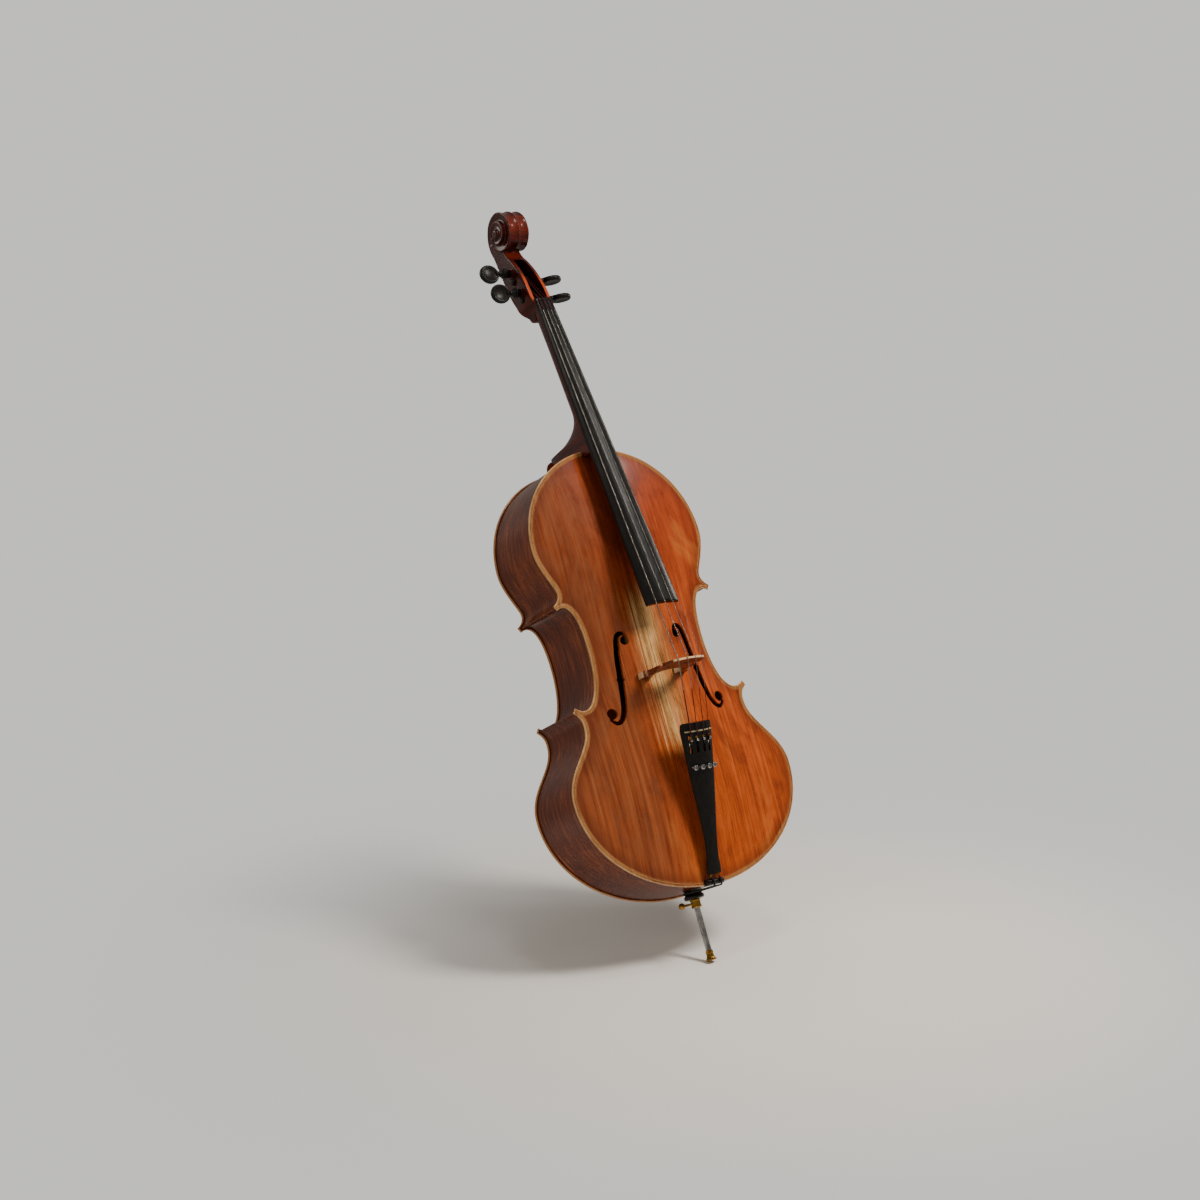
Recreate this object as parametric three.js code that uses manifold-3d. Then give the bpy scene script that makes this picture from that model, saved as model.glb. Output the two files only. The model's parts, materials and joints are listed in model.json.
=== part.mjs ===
// A full-size cello, standing upright on its endpin.
// Millimetres. +Z runs up the centre line, -Y is the front (the side with the strings), +X is the
// treble side. The origin is the middle of the endpin foot's flat underside.
import * as THREE from "three";
import { mergeVertices } from "three/addons/utils/BufferGeometryUtils.js";
import Module from "manifold-3d";

const wasm = await Module();
wasm.setup();

// ---------------------------------------------------------------- driving dimensions
const GAP = 0.3; // clearance between pieces that touch
const FLOOR_TO_BODY = 115; // from the foot's underside to the body's lower edge

const BODY_LENGTH = 755;
const UPPER_HALF = 170; // half widths of the body
const WAIST_HALF = 115;
const LOWER_HALF = 219;
const UPPER_WIDEST = 592; // heights of the widest and narrowest places
const WAIST = 412;
const LOWER_WIDEST = 172;
const HALF_DEPTH = 59; // half the ribs' depth
const EDGE = 4.8; // plate thickness at its edge
const CHANNEL = 3.8; // plate thickness in the channel just inside the edge
const ARCH = 25; // height of the arching over the rib plane
const ARCH_POWER = 1.4;
const PLATE = 4.6; // plate thickness under the arching
const OVERHANG = 3.5; // plate edge beyond the ribs
const RIB = 1.8;
const LINING = { width: 6, depth: 16 };
const END_BLOCK = { half: 62, upper: 52, lower: 42 };
const POST = { radius: 5.5, x: 31, below: 22 };
const BAR = { x: -29, half: 5, low: 130, high: 640, deep: 24, ends: 7 };

const STOP = 355; // height of the bridge above the body's lower edge
const NECK_LENGTH = 283; // body edge to nut
const NECK_TILT = THREE.MathUtils.degToRad(9.5);
const OVERSTAND = 20; // neck's glue face above the plate's edge
const NECK_THICK = 22;
const HEEL = { into: 12, button: 25, top: 70, taper: 0.32, fullness: 0.62, clear: 24.6 };
const BUTTON = { half: 17, up: 7 };
const BOARD = { length: 585, nutHalf: 16, endHalf: 32, side: 6.5, radius: 62, hollow: 5 };
const NUT = { length: 6.2, height: 9.3 };
const BRIDGE = { height: 90, feetThick: 11, topThick: 3.2, radius: 62 };

const TAIL = { length: 248, above: 14, radius: 55, back: 4, tilt: THREE.MathUtils.degToRad(15.9) };
const FRET_AT = { y: -141, z: 240 }; // tailpiece's face under the strings' last bearing
const FRET = { height: 2, thick: 2.4, half: 26 };
const TUNER = {
  pivot: { y: 9.8, z: -24 },
  axle: 1.2,
  screwZ: -58,
  shank: 1.6,
  knob: 4.4,
  standOff: 4,
  lever: 4,
  roof: 7.2,
};
const SADDLE = { half: 17, up: 9, proud: 11.5 };
const GUT = { radius: 1.4, half: 7, deep: 3.4 };

const SOCKET = { collar: 17, groove: 14.2, plug: 12, inside: 52, below: 12 };
const ROD = { radius: 5, inside: 400 };
const FOOT = { height: 17, top: 6, bottom: 9 };
const FERRULE = { radius: 8.5, height: 14 };
const THUMB = { radius: 2, out: 23, ball: 5.4 };

// Pegs: radii at the head's side and at the far wall, reach past the centre line, head sizes.
const PEG = {
  headSide: 7.2,
  farSide: 5.9,
  wall: 24,
  reach: 23,
  collarAt: 27,
  disc: 18.5,
  oval: 0.943,
  discAt: 58,
  thick: 9,
};
const WINDING = { half: 4, turns: 2.2 };

// The strings from the bass side to the treble side. Across the cello, each one's place at the peg,
// nut, bridge and tailpiece; then which wall its peg's head is on, and where in the pegbox it lies.
const STRINGS = [
  { name: "c", radius: 0.9, wind: -7, nut: -11, bridge: -24, tail: -18.5, head: -1, up: 38, back: 26 },
  { name: "g", radius: 0.65, wind: -4, nut: -3.7, bridge: -8, tail: -6.5, head: -1, up: 84, back: 36 },
  { name: "d", radius: 0.5, wind: 4, nut: 3.7, bridge: 8, tail: 6.5, head: 1, up: 63, back: 31 },
  { name: "a", radius: 0.4, wind: 7, nut: 11, bridge: 24, tail: 18.5, head: 1, up: 22, back: 24 },
];

const SCROLL = { back: 18.5, up: 153, radius: 48, perTurn: 0.58, eye: 9.5, halves: [18, 25, 31] };
const CHEEK = 6.6; // thickness of the pegbox's side walls
const FLOOR = 9; // wood behind the pegs
// Sections of the pegbox: where the front rim is, where the back is, and the half width.
const PEGBOX = [
  { front: [0, -12], back: [25, -20], half: 15.6 },
  { front: [0, 0], back: [35, -9], half: 16.8 },
  { front: [0, 14], back: [45, 6], half: 20.5 },
  { front: [0.5, 30], back: [51, 24], half: 20.5 },
  { front: [3, 50], back: [57, 47], half: 19.6 },
  { front: [8.5, 73], back: [60.5, 76], half: 18.4 },
  { front: [17, 95], back: [62.5, 104], half: 17.4 },
  { front: [25, 110], back: [64, 128], half: 16.8 },
  { front: [29, 128], back: [64, 150], half: 16.4 },
  { front: [26, 150], back: [63, 157], half: 16.4 },
];

// ---------------------------------------------------------------- finishes
const finish = (color, roughness, metalness = 0) =>
  new THREE.MeshStandardMaterial({ color, roughness, metalness });
const VARNISH = finish(0xb8531a, 0.3);
const DARK_VARNISH = finish(0x4a1f14, 0.32);
const EBONY = finish(0x14110f, 0.38);
const SPRUCE = finish(0xd9b98a, 0.7);
const WILLOW = finish(0xcdb083, 0.75);
const BRIDGE_MAPLE = finish(0x9c6136, 0.5);
const PALE_FRET = finish(0xcfc4a6, 0.4);
const STEEL = finish(0xb9b9b9, 0.25, 1);
const BRASS = finish(0xb08d45, 0.3, 1);
const STRING_STEEL = finish(0xc2beb4, 0.35, 1);
const BLACK_CORD = finish(0x241c17, 0.5);

// ---------------------------------------------------------------- solids
const v2 = (x, y) => new THREE.Vector2(x, y);
const v3 = (x, y, z) => new THREE.Vector3(x, y, z);
const arcPoints = (count, point) => Array.from({ length: count + 1 }, (_, i) => point(i / count));
const circlePoints = (count, radius, x = 0, y = 0) =>
  arcPoints(count, (t) => {
    const angle = 2 * Math.PI * t;
    return v2(x + radius * Math.cos(angle), y + radius * Math.sin(angle));
  }).slice(1);

function solidOf(geometry) {
  const bare = geometry.index ? geometry.toNonIndexed() : geometry.clone();
  bare.deleteAttribute("normal");
  bare.deleteAttribute("uv");
  const merged = mergeVertices(bare, 1e-3);
  return new wasm.Manifold(
    new wasm.Mesh({
      numProp: 3,
      vertProperties: merged.attributes.position.array,
      triVerts: new Uint32Array(merged.index.array),
    }),
  );
}

function geometryOf(solid) {
  const mesh = solid.getMesh();
  const geometry = new THREE.BufferGeometry();
  geometry.setAttribute("position", new THREE.BufferAttribute(mesh.vertProperties, 3));
  geometry.setIndex(new THREE.BufferAttribute(mesh.triVerts, 1));
  return geometry;
}

const cut = (geometry, ...tools) =>
  geometryOf(tools.reduce((solid, tool) => solid.subtract(solidOf(tool)), solidOf(geometry)));
const join = (first, ...others) =>
  geometryOf(others.reduce((solid, other) => solid.add(solidOf(other)), solidOf(first)));
const common = (a, b) => geometryOf(solidOf(a).intersect(solidOf(b)));

function box(low, high) {
  const size = v3(...high).sub(v3(...low));
  const middle = v3(...high).add(v3(...low)).multiplyScalar(0.5);
  return new THREE.BoxGeometry(...size).translate(...middle);
}

// A prism from an outline in X and Z, between two depths.
function frontPrism(points, front, back) {
  const solid = new THREE.ExtrudeGeometry(new THREE.Shape(points), {
    depth: back - front,
    bevelEnabled: false,
  });
  solid.applyMatrix4(new THREE.Matrix4().makeBasis(v3(1, 0, 0), v3(0, 0, 1), v3(0, -1, 0)));
  return solid.translate(0, back, 0);
}

// A prism from an outline in Y and Z, between two places across the cello.
function sidePrism(points, from, to) {
  const solid = new THREE.ExtrudeGeometry(new THREE.Shape(points), {
    depth: to - from,
    bevelEnabled: false,
  });
  solid.applyMatrix4(new THREE.Matrix4().makeBasis(v3(0, 1, 0), v3(0, 0, 1), v3(1, 0, 0)));
  return solid.translate(from, 0, 0);
}

// A prism from an outline in X and Y, between two heights.
function uprightPrism(points, from, to) {
  const solid = new THREE.ExtrudeGeometry(new THREE.Shape(points), {
    depth: to - from,
    bevelEnabled: false,
  });
  return solid.translate(0, 0, from);
}

// Turns a geometry's faces round if they point inwards.
function outward(geometry) {
  const flat = geometry.index ? geometry.toNonIndexed() : geometry;
  const place = flat.attributes.position;
  let volume = 0;
  for (let i = 0; i < place.count; i += 3) {
    const [a, b, c] = [0, 1, 2].map((k) => v3().fromBufferAttribute(place, i + k));
    volume += a.dot(b.cross(c));
  }
  if (volume > 0) return geometry;
  const order = geometry.index ? [...geometry.index.array] : [...Array(place.count).keys()];
  for (let i = 0; i < order.length; i += 3)
    [order[i + 1], order[i + 2]] = [order[i + 2], order[i + 1]];
  geometry.setIndex(order);
  return geometry;
}

// A turned piece from [radius, place along the axis] pairs.
function turned(profile, sides, axis = "z") {
  const lathe = new THREE.LatheGeometry(profile.map(([r, h]) => v2(r, h)), sides);
  if (axis === "z") lathe.rotateX(Math.PI / 2);
  if (axis === "x") lathe.rotateZ(-Math.PI / 2);
  return outward(lathe);
}

const rod = (radius, from, to, sides, axis) =>
  turned([[0, from], [radius, from], [radius, to], [0, to]], sides, axis);

function indexed(points, faces) {
  const geometry = new THREE.BufferGeometry();
  const flat = points.flatMap((p) => [p.x, p.y, p.z]);
  geometry.setAttribute("position", new THREE.Float32BufferAttribute(flat, 3));
  geometry.setIndex(faces);
  return outward(geometry);
}

// A closed skin through rings of points, with a fan of faces over each end.
function loft(rings) {
  const n = rings[0].length;
  const middle = (ring) => ring.reduce((sum, p) => sum.add(p), v3()).divideScalar(n);
  const points = [...rings.flat(), middle(rings[0]), middle(rings.at(-1))];
  const last = (rings.length - 1) * n;
  const [startFan, endFan] = [points.length - 2, points.length - 1];
  const faces = [];
  for (let i = 0; i < n; i++) {
    const k = (i + 1) % n;
    for (let j = 0; j < last; j += n) faces.push(j + i, j + k, j + k + n, j + i, j + k + n, j + i + n);
    faces.push(k, i, startFan, last + i, last + k, endFan);
  }
  return indexed(points, faces);
}

// A string that runs straight from point to point, bending only at them.
function taut(points, radius, sides = 6) {
  return loft(
    points.map((p, i) => {
      const before = points[Math.max(i - 1, 0)];
      const after = points[Math.min(i + 1, points.length - 1)];
      const along = after.clone().sub(before).normalize();
      const across = v3(1, 0, 0).addScaledVector(along, -along.x).normalize();
      const other = v3().crossVectors(along, across);
      return arcPoints(sides, (t) => {
        const angle = 2 * Math.PI * t;
        return p
          .clone()
          .addScaledVector(across, radius * Math.cos(angle))
          .addScaledVector(other, radius * Math.sin(angle));
      }).slice(1);
    }),
  );
}

const cello = new THREE.Group();
const body = new THREE.Group(); // its Z starts at the body's lower edge
body.position.z = FLOOR_TO_BODY;
cello.add(body);

function add(parent, name, geometry, material) {
  const piece = new THREE.Mesh(geometry, material);
  piece.name = name;
  parent.add(piece);
}

// ---------------------------------------------------------------- the body's outline
// The treble half, from the top of the upper bout round to the bottom: five stretches of curves,
// each curve with its number of straight steps. The two short stretches are the corners' ends.
const bezier = (...places) => new THREE.CubicBezierCurve(...places.map(([x, z]) => v2(x, z)));
const HALF_OUTLINE = [
  [
    [bezier([0, BODY_LENGTH], [92, BODY_LENGTH], [UPPER_HALF, 684], [UPPER_HALF, UPPER_WIDEST]), 10],
    [bezier([UPPER_HALF, UPPER_WIDEST], [UPPER_HALF, 567], [154, 541.2], [146, 523]), 3],
    [bezier([146, 523], [140.4, 510.2], [149.5, 501.2], [158, 496]), 3],
  ],
  [[new THREE.LineCurve(v2(158, 496), v2(153.2, 487.8)), 1]],
  [
    [bezier([153.2, 487.8], [128.5, 502.4], [WAIST_HALF, 470], [WAIST_HALF, WAIST]), 6],
    [bezier([WAIST_HALF, WAIST], [WAIST_HALF, 355], [134.8, 297.6], [170, 324]), 6],
  ],
  [[new THREE.LineCurve(v2(170, 324), v2(174.9, 315.8)), 1]],
  [
    [bezier([174.9, 315.8], [162.1, 306.2], [160.8, 297.9], [162.5, 284]), 3],
    [bezier([162.5, 284], [166.8, 248.4], [LOWER_HALF, 222], [LOWER_HALF, LOWER_WIDEST]), 5],
    [bezier([LOWER_HALF, LOWER_WIDEST], [LOWER_HALF, 74], [118, 0], [0, 0]), 11],
  ],
];
const stretches = HALF_OUTLINE.map((curves) =>
  curves.flatMap(([curve, steps], i) => curve.getPoints(steps).slice(i ? 1 : 0)),
);

// A stretch moved inwards, with its corner ends run on so that it can meet its neighbour.
function movedIn(points, distance) {
  const end = points.length - 1;
  const runOn = 3;
  return points.map((p, i) => {
    if (p.x === 0) return v2(0, p.y + (i === 0 ? -distance : distance));
    const way = points[Math.min(i + 1, end)].clone().sub(points[Math.max(i - 1, 0)]).normalize();
    const onward = i === 0 ? -runOn : i === end ? runOn : 0;
    return v2(p.x + way.y * distance, p.y - way.x * distance).addScaledVector(way, onward);
  });
}

function crossing(a, b, c, d) {
  const [along, other, between] = [b.clone().sub(a), d.clone().sub(c), c.clone().sub(a)];
  const base = along.cross(other);
  const [t, u] = [between.cross(other) / base, between.cross(along) / base];
  return t >= 0 && t <= 1 && u >= 0 && u <= 1 ? a.clone().addScaledVector(along, t) : null;
}

// Two neighbouring stretches, each ended where they cross, or nothing if they don't.
function trimmed(first, second) {
  for (let i = first.length - 2; i >= 0; i--)
    for (let j = 0; j + 1 < second.length; j++) {
      const at = crossing(first[i], first[i + 1], second[j], second[j + 1]);
      if (at) return [[...first.slice(0, i + 1), at], [at, ...second.slice(j + 1)]];
    }
  return null;
}

// Joins three stretches at a corner. Its short end drops out where the long sides meet before it.
function joinCorner(first, end, second) {
  const [one, endLeft] = trimmed(first, end) ?? [];
  const [endKept, two] = endLeft ? trimmed(end, second) : [];
  const way = end.at(-1).clone().sub(end[0]);
  const keepsEnd = endKept && two[0].clone().sub(one.at(-1)).dot(way) > 0;
  return keepsEnd ? [one, two] : trimmed(first, second);
}

// The whole closed outline at a distance inside the edge, going down the treble side first.
function outline(distance = 0) {
  let [upper, upperEnd, middle, lowerEnd, lower] = stretches;
  if (distance > 0) {
    [upper, upperEnd, middle, lowerEnd, lower] = stretches.map((s) => movedIn(s, distance));
    [upper, middle] = joinCorner(upper, upperEnd, middle);
    [middle, lower] = joinCorner(middle, lowerEnd, lower);
  }
  const half = [...upper, ...middle, ...lower].filter((p, i, all) => !i || p.distanceTo(all[i - 1]) > 0.01);
  return [...half, ...half.slice(1, -1).reverse().map((p) => v2(-p.x, p.y))];
}

const bodyPrism = (inside, front, back) => frontPrism(outline(inside), front, back);

// ---------------------------------------------------------------- the arching
// The arching is the shape of a thin skin blown up inside the outline, evened out along the length.
const CELL = 5;
const SPAN = { x: 225, low: -5, high: BODY_LENGTH + 5 };
const COLS = (2 * SPAN.x) / CELL + 1;
const ROWS = (SPAN.high - SPAN.low) / CELL + 1;

function isInside(polygon, x, z) {
  let inside = false;
  polygon.forEach((p, i) => {
    const q = polygon[(i + 1) % polygon.length];
    if (p.y > z !== q.y > z && x < ((q.x - p.x) * (z - p.y)) / (q.y - p.y) + p.x) inside = !inside;
  });
  return inside;
}

function blownSkin() {
  const edge = outline();
  const height = new Float64Array(COLS * ROWS);
  const cells = [];
  for (let row = 1; row < ROWS - 1; row++)
    for (let col = 1; col < COLS - 1; col++)
      if (isInside(edge, col * CELL - SPAN.x, row * CELL + SPAN.low)) cells.push(row * COLS + col);
  const [passes, hurry] = [600, 1.95];
  for (let pass = 0; pass < passes; pass++)
    for (const k of cells) {
      const around = height[k - 1] + height[k + 1] + height[k - COLS] + height[k + COLS];
      height[k] += hurry * ((around + 1) / 4 - height[k]);
    }
  return height;
}
const skin = blownSkin();

function skinAt(x, z) {
  const [col, row] = [(x + SPAN.x) / CELL, (z - SPAN.low) / CELL];
  const [c, r] = [Math.floor(col), Math.floor(row)];
  const at = (i, j) => skin[(r + j) * COLS + c + i];
  const mix = THREE.MathUtils.lerp;
  return mix(mix(at(0, 0), at(1, 0), col - c), mix(at(0, 1), at(1, 1), col - c), row - r);
}

// Beyond the middle of each bout the centre line's height is taken as level.
const level = (z) => skinAt(0, THREE.MathUtils.clamp(z, 200, 575));
const rise = (x, z) => THREE.MathUtils.clamp(skinAt(x, z) / level(z), 0, 1) ** ARCH_POWER;
const outerArch = (x, z) => CHANNEL + (ARCH - CHANNEL) * rise(x, z);
const innerArch = (x, z) => Math.max(0, (ARCH - PLATE) * rise(x, z) - 0.6);

// ---------------------------------------------------------------- plates
// Each point of the outline has a partner on the centre line, given at a few of them as the
// point's number and the partner's height. The rings of a plate's skin lie between the two, so
// no ring crosses another, even at the corners.
const PARTNERS = [
  [0, 668],
  [10, 640],
  [16, 560],
  [17, 545],
  [23, WAIST],
  [29, 240],
  [30, 228],
  [38, 178],
  [49, 150],
];

function partnerHeight(i) {
  const k = PARTNERS.findIndex(([index]) => index >= i);
  if (k === 0) return PARTNERS[0][1];
  const [[i0, z0], [i1, z1]] = [PARTNERS[k - 1], PARTNERS[k]];
  return THREE.MathUtils.mapLinear(i, i0, i1, z0, z1);
}

// side is -1 for the front plate and 1 for the back plate.
function plate(side) {
  const edge = outline();
  const n = edge.length;
  const ring = (share, height) =>
    edge.map((start, i) => {
      const p = start.clone().lerp(v2(0, partnerHeight(Math.min(i, n - i))), share);
      return v3(p.x, side * (HALF_DEPTH + height(p.x, p.y)), p.y);
    });
  const outer = [0.06, 0.19, 0.4, 0.68, 1].map((share) => ring(share, outerArch));
  const inner = [1, 0.62, 0.34].map((share) => ring(share, innerArch));
  const gluing = ring(0.13, () => 0);
  const rings = [ring(0, () => 0), ring(0, () => EDGE), ...outer, ...inner, gluing];
  const closedUp = 1 + outer.length; // the outer ring that has shrunk to the centre line
  const points = rings.flat();
  const faces = [];
  const face = (...corners) => {
    const [a, b, c] = corners.map((k) => points[k]);
    const flat = a.distanceTo(b) < 1e-3 || b.distanceTo(c) < 1e-3 || c.distanceTo(a) < 1e-3;
    if (!flat) faces.push(...corners);
  };
  for (let j = 0; j < rings.length; j++) {
    if (j === closedUp) continue;
    const [here, next] = [j * n, ((j + 1) % rings.length) * n];
    for (let i = 0; i < n; i++) {
      const k = (i + 1) % n;
      face(here + i, here + k, next + k);
      face(here + i, next + k, next + i);
    }
  }
  return indexed(points, faces);
}

// One f-hole: a swelling stem between two round eyes, drawn for the treble side.
const F_HOLE = {
  stem: [
    [47, 423],
    [53, 431.5],
    [64, 427],
    [71, 398],
    [77, 354],
    [84, 314],
    [93, 292],
    [104, 286],
    [114, 294],
  ],
  eyes: [{ x: 52, z: 419, radius: 7.5 }, { x: 108, z: 303, radius: 9 }],
  width: 11,
};

function fHole(side) {
  const steps = 24;
  const line = new THREE.SplineCurve(F_HOLE.stem.map(([x, z]) => v2(x, z)));
  const edgePoint = (t, way) => {
    const along = line.getTangent(t);
    const off = way * F_HOLE.width * (0.2 + 0.3 * Math.sin(Math.PI * t));
    return line.getPoint(t).add(v2(-along.y * off, along.x * off));
  };
  const stem = [
    ...arcPoints(steps, (t) => edgePoint(t, 1)),
    ...arcPoints(steps, (t) => edgePoint(1 - t, -1)),
  ];
  const eyes = F_HOLE.eyes.map(({ x, z, radius }) => circlePoints(14, radius, x, z));
  const through = [stem, ...eyes].map((points) =>
    frontPrism(points.map((p) => v2(side * p.x, p.y)), -HALF_DEPTH - ARCH - 10, -HALF_DEPTH + 2),
  );
  return join(...through);
}

// ---------------------------------------------------------------- neck
// The neck group's origin is where the neck's glue face meets the nut. Its Z runs up the neck and
// its Y points backwards, square to the glue face.
const glueFace = (z) => -HALF_DEPTH - EDGE - OVERSTAND + (z - BODY_LENGTH) * Math.tan(NECK_TILT);
const nutHeight = BODY_LENGTH + NECK_LENGTH * Math.cos(NECK_TILT);
const neckGroup = new THREE.Group();
neckGroup.position.set(0, glueFace(nutHeight), nutHeight);
neckGroup.rotation.x = -NECK_TILT;
neckGroup.updateMatrix();
body.add(neckGroup);
const neckToBody = neckGroup.matrix;
const bodyToNeck = neckToBody.clone().invert();

const boardHalf = (down) => THREE.MathUtils.lerp(BOARD.nutHalf, BOARD.endHalf, down / BOARD.length);

// A level section of the neck: flat in front, round behind. fullness 1 is round, less is squarer.
function neckSection(z, back, fullness, taper, grow = 0) {
  const half = boardHalf((nutHeight - z) / Math.cos(NECK_TILT)) + grow;
  const front = glueFace(z) - grow;
  return arcPoints(12, (t) => {
    const [across, behind] = [Math.cos(Math.PI * t), Math.sin(Math.PI * t) ** fullness];
    const x = half * Math.sign(across) * Math.abs(across) ** fullness * (1 - taper * behind);
    return v3(x, front + (back + grow - front) * behind, z);
  });
}

function neckShaft() {
  const heelBack = HALF_DEPTH - GAP;
  const rings = [-HEEL.into, 0, HEEL.button, 27, 31, 38, 48, 58, HEEL.top, 130, 200, 250].map((up) => {
    const z = BODY_LENGTH + up;
    const low = THREE.MathUtils.clamp((HEEL.top - up) / (HEEL.top - HEEL.button), 0, 1);
    const shaftBack = glueFace(z) + NECK_THICK;
    const back = THREE.MathUtils.lerp(heelBack, shaftBack, Math.sqrt(1 - low * low));
    return neckSection(z, back, THREE.MathUtils.lerp(0.95, HEEL.fullness, low), HEEL.taper * low);
  });
  rings.push(neckSection(nutHeight - 8, glueFace(nutHeight - 8) + 24, 0.9, 0));
  return loft(rings.map((ring) => ring.map((p) => p.applyMatrix4(bodyToNeck))));
}

// A section across the pegbox, from one share of its depth to another.
function pegboxRing({ front, back, half }, from, to, soften) {
  const at = (x, share) => v3(x, ...front.map((f, i) => THREE.MathUtils.lerp(f, back[i], share)));
  const points = [at(-half, from), at(half, from), at(half, to)];
  if (soften > 0) points[2] = at(half, to - 0.1);
  if (soften > 0) points.push(at(half - soften, to), at(soften - half, to), at(-half, to - 0.1));
  else points.push(at(-half, to));
  return points;
}

// The trough that the strings wind in.
function trough() {
  const open = PEGBOX.slice(2, 8).map((section, i, all) => {
    const lower = i === 0 || i === all.length - 1 ? 6 : 0;
    const [front, back] = [section.front, section.back].map(([y, z]) => [y, z - lower]);
    const depth = Math.hypot(back[0] - front[0], back[1] - front[1]);
    return pegboxRing({ front, back, half: section.half - CHEEK }, -0.4, 1 - FLOOR / depth, 0);
  });
  return loft(open);
}

// One turn of the scroll, a plate whose edge winds inwards.
function scrollTurn(turn, half, sides) {
  const points = arcPoints(sides, (t) => {
    const angle = 2 * Math.PI * t;
    const radius = SCROLL.radius * SCROLL.perTurn ** (turn + t);
    return v2(SCROLL.back + radius * Math.cos(angle), SCROLL.up + radius * Math.sin(angle));
  });
  return sidePrism(points, -half, half);
}

function scroll() {
  const [outerHalf, innerHalf, eyeHalf] = SCROLL.halves;
  const eye = rod(SCROLL.eye, -eyeHalf, eyeHalf, 18, "x").translate(0, SCROLL.back, SCROLL.up);
  return join(scrollTurn(0, outerHalf, 22), scrollTurn(1, innerHalf, 18), eye);
}

// A peg's tapered hole, with its head's side towards -X.
function pegHole() {
  const [wide, narrow] = [PEG.headSide + GAP, PEG.farSide + GAP];
  const far = 60;
  return turned(
    [[0, -far], [wide, -far], [wide, -PEG.wall], [narrow, PEG.reach], [narrow, far], [0, far]],
    16,
    "x",
  );
}

function neck() {
  const block = loft(PEGBOX.map((section) => pegboxRing(section, 0, 1, 3)));
  const holes = STRINGS.map(({ head, up, back }) =>
    pegHole().rotateZ(head > 0 ? Math.PI : 0).translate(0, back, up),
  );
  return cut(join(neckShaft(), block, scroll()), trough(), ...holes);
}
add(neckGroup, "neck", neck(), DARK_VARNISH);

// The rounded top of the fingerboard and of the nut, as a depth in front of the glue face.
const crown = (x, half, side) =>
  -side - Math.sqrt(BOARD.radius ** 2 - x * x) + Math.sqrt(BOARD.radius ** 2 - half * half);

function fingerboard() {
  const free = NECK_LENGTH + 12; // where the board leaves the neck
  return loft(
    [GAP, free, free + 30, BOARD.length].map((down) => {
      const half = boardHalf(down);
      const hollow = down > free ? BOARD.hollow : 0.01;
      const across = (count) => arcPoints(count, (t) => half * (2 * t - 1));
      const top = across(10).map((x) => v3(x, crown(x, half, BOARD.side), -down));
      const under = across(4).map((x) => v3(-x, -GAP - hollow * (1 - (x / half) ** 2), -down));
      return [...top, ...under];
    }),
  );
}
add(neckGroup, "fingerboard", fingerboard(), EBONY);

const nutSide = NUT.height + crown(0, BOARD.nutHalf, 0);
const nutTop = arcPoints(8, (t) => {
  const x = BOARD.nutHalf * (2 * t - 1);
  return v2(x, crown(x, BOARD.nutHalf, nutSide));
});
const nutShape = [...nutTop, v2(BOARD.nutHalf, -GAP), v2(-BOARD.nutHalf, -GAP)];
add(neckGroup, "nut", uprightPrism(nutShape, GAP, NUT.length), EBONY);

// ---------------------------------------------------------------- pegs and windings
const shankRadius = (x) =>
  THREE.MathUtils.mapLinear(x, -PEG.wall, PEG.reach, PEG.headSide, PEG.farSide);

function peg() {
  const shank = turned(
    [
      [0, PEG.reach],
      [PEG.farSide, PEG.reach],
      [PEG.headSide, -PEG.wall],
      [PEG.headSide, -PEG.collarAt + 1],
      [9, -PEG.collarAt],
      [9, -PEG.collarAt - 3],
      [6.5, -PEG.collarAt - 6],
      [5, -PEG.collarAt - 11],
      [6.5, -PEG.discAt + 14],
      [0, -PEG.discAt + 12],
    ],
    12,
    "x",
  );
  const rim = circlePoints(18, PEG.disc - 1).map((p) => v2(p.x - PEG.discAt, p.y * PEG.oval));
  const disc = new THREE.ExtrudeGeometry(new THREE.Shape(rim), {
    depth: PEG.thick - 4,
    bevelSize: 1,
    bevelThickness: 2,
    bevelSegments: 1,
  });
  return join(shank, disc.translate(0, 0, 2 - PEG.thick / 2));
}

// Each peg rests at the angle its player left it at.
const PEG_TURN = { c: 104, g: 96, d: -12, a: -14 };
for (const { name, head, up, back } of STRINGS) {
  const turn = THREE.MathUtils.degToRad(PEG_TURN[name]);
  const placed = peg().rotateX(turn).rotateZ(head > 0 ? Math.PI : 0).translate(0, back, up);
  add(neckGroup, `peg_${name}`, placed, EBONY);
}

const windingInner = ({ wind, head }) => shankRadius(-head * wind - WINDING.half) + GAP;
const windingOuter = (string) => windingInner(string) + WINDING.turns * string.radius + 0.5;
for (const string of STRINGS) {
  const { name, up, back, wind } = string;
  const [inner, outer] = [windingInner(string), windingOuter(string)];
  const ends = [wind - WINDING.half, wind + WINDING.half];
  const profile = [[inner, ends[0]], [outer, ends[0]], [outer, ends[1]], [inner, ends[1]], [inner, ends[0]]];
  add(neckGroup, `string_winding_${name}`, turned(profile, 18, "x").translate(0, back, up), STRING_STEEL);
}

// ---------------------------------------------------------------- tailpiece
// The tail group's origin is on the tailpiece's face, under its fret. Its Z runs up the tailpiece
// and its Y points backwards into it.
const tailGroup = new THREE.Group();
tailGroup.position.set(0, FRET_AT.y, FRET_AT.z);
tailGroup.rotation.x = TAIL.tilt;
tailGroup.updateMatrix();
body.add(tailGroup);
const tailFace = (x) => TAIL.radius - Math.sqrt(TAIL.radius ** 2 - x * x);
const tailEnd = TAIL.above - TAIL.length;

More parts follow.
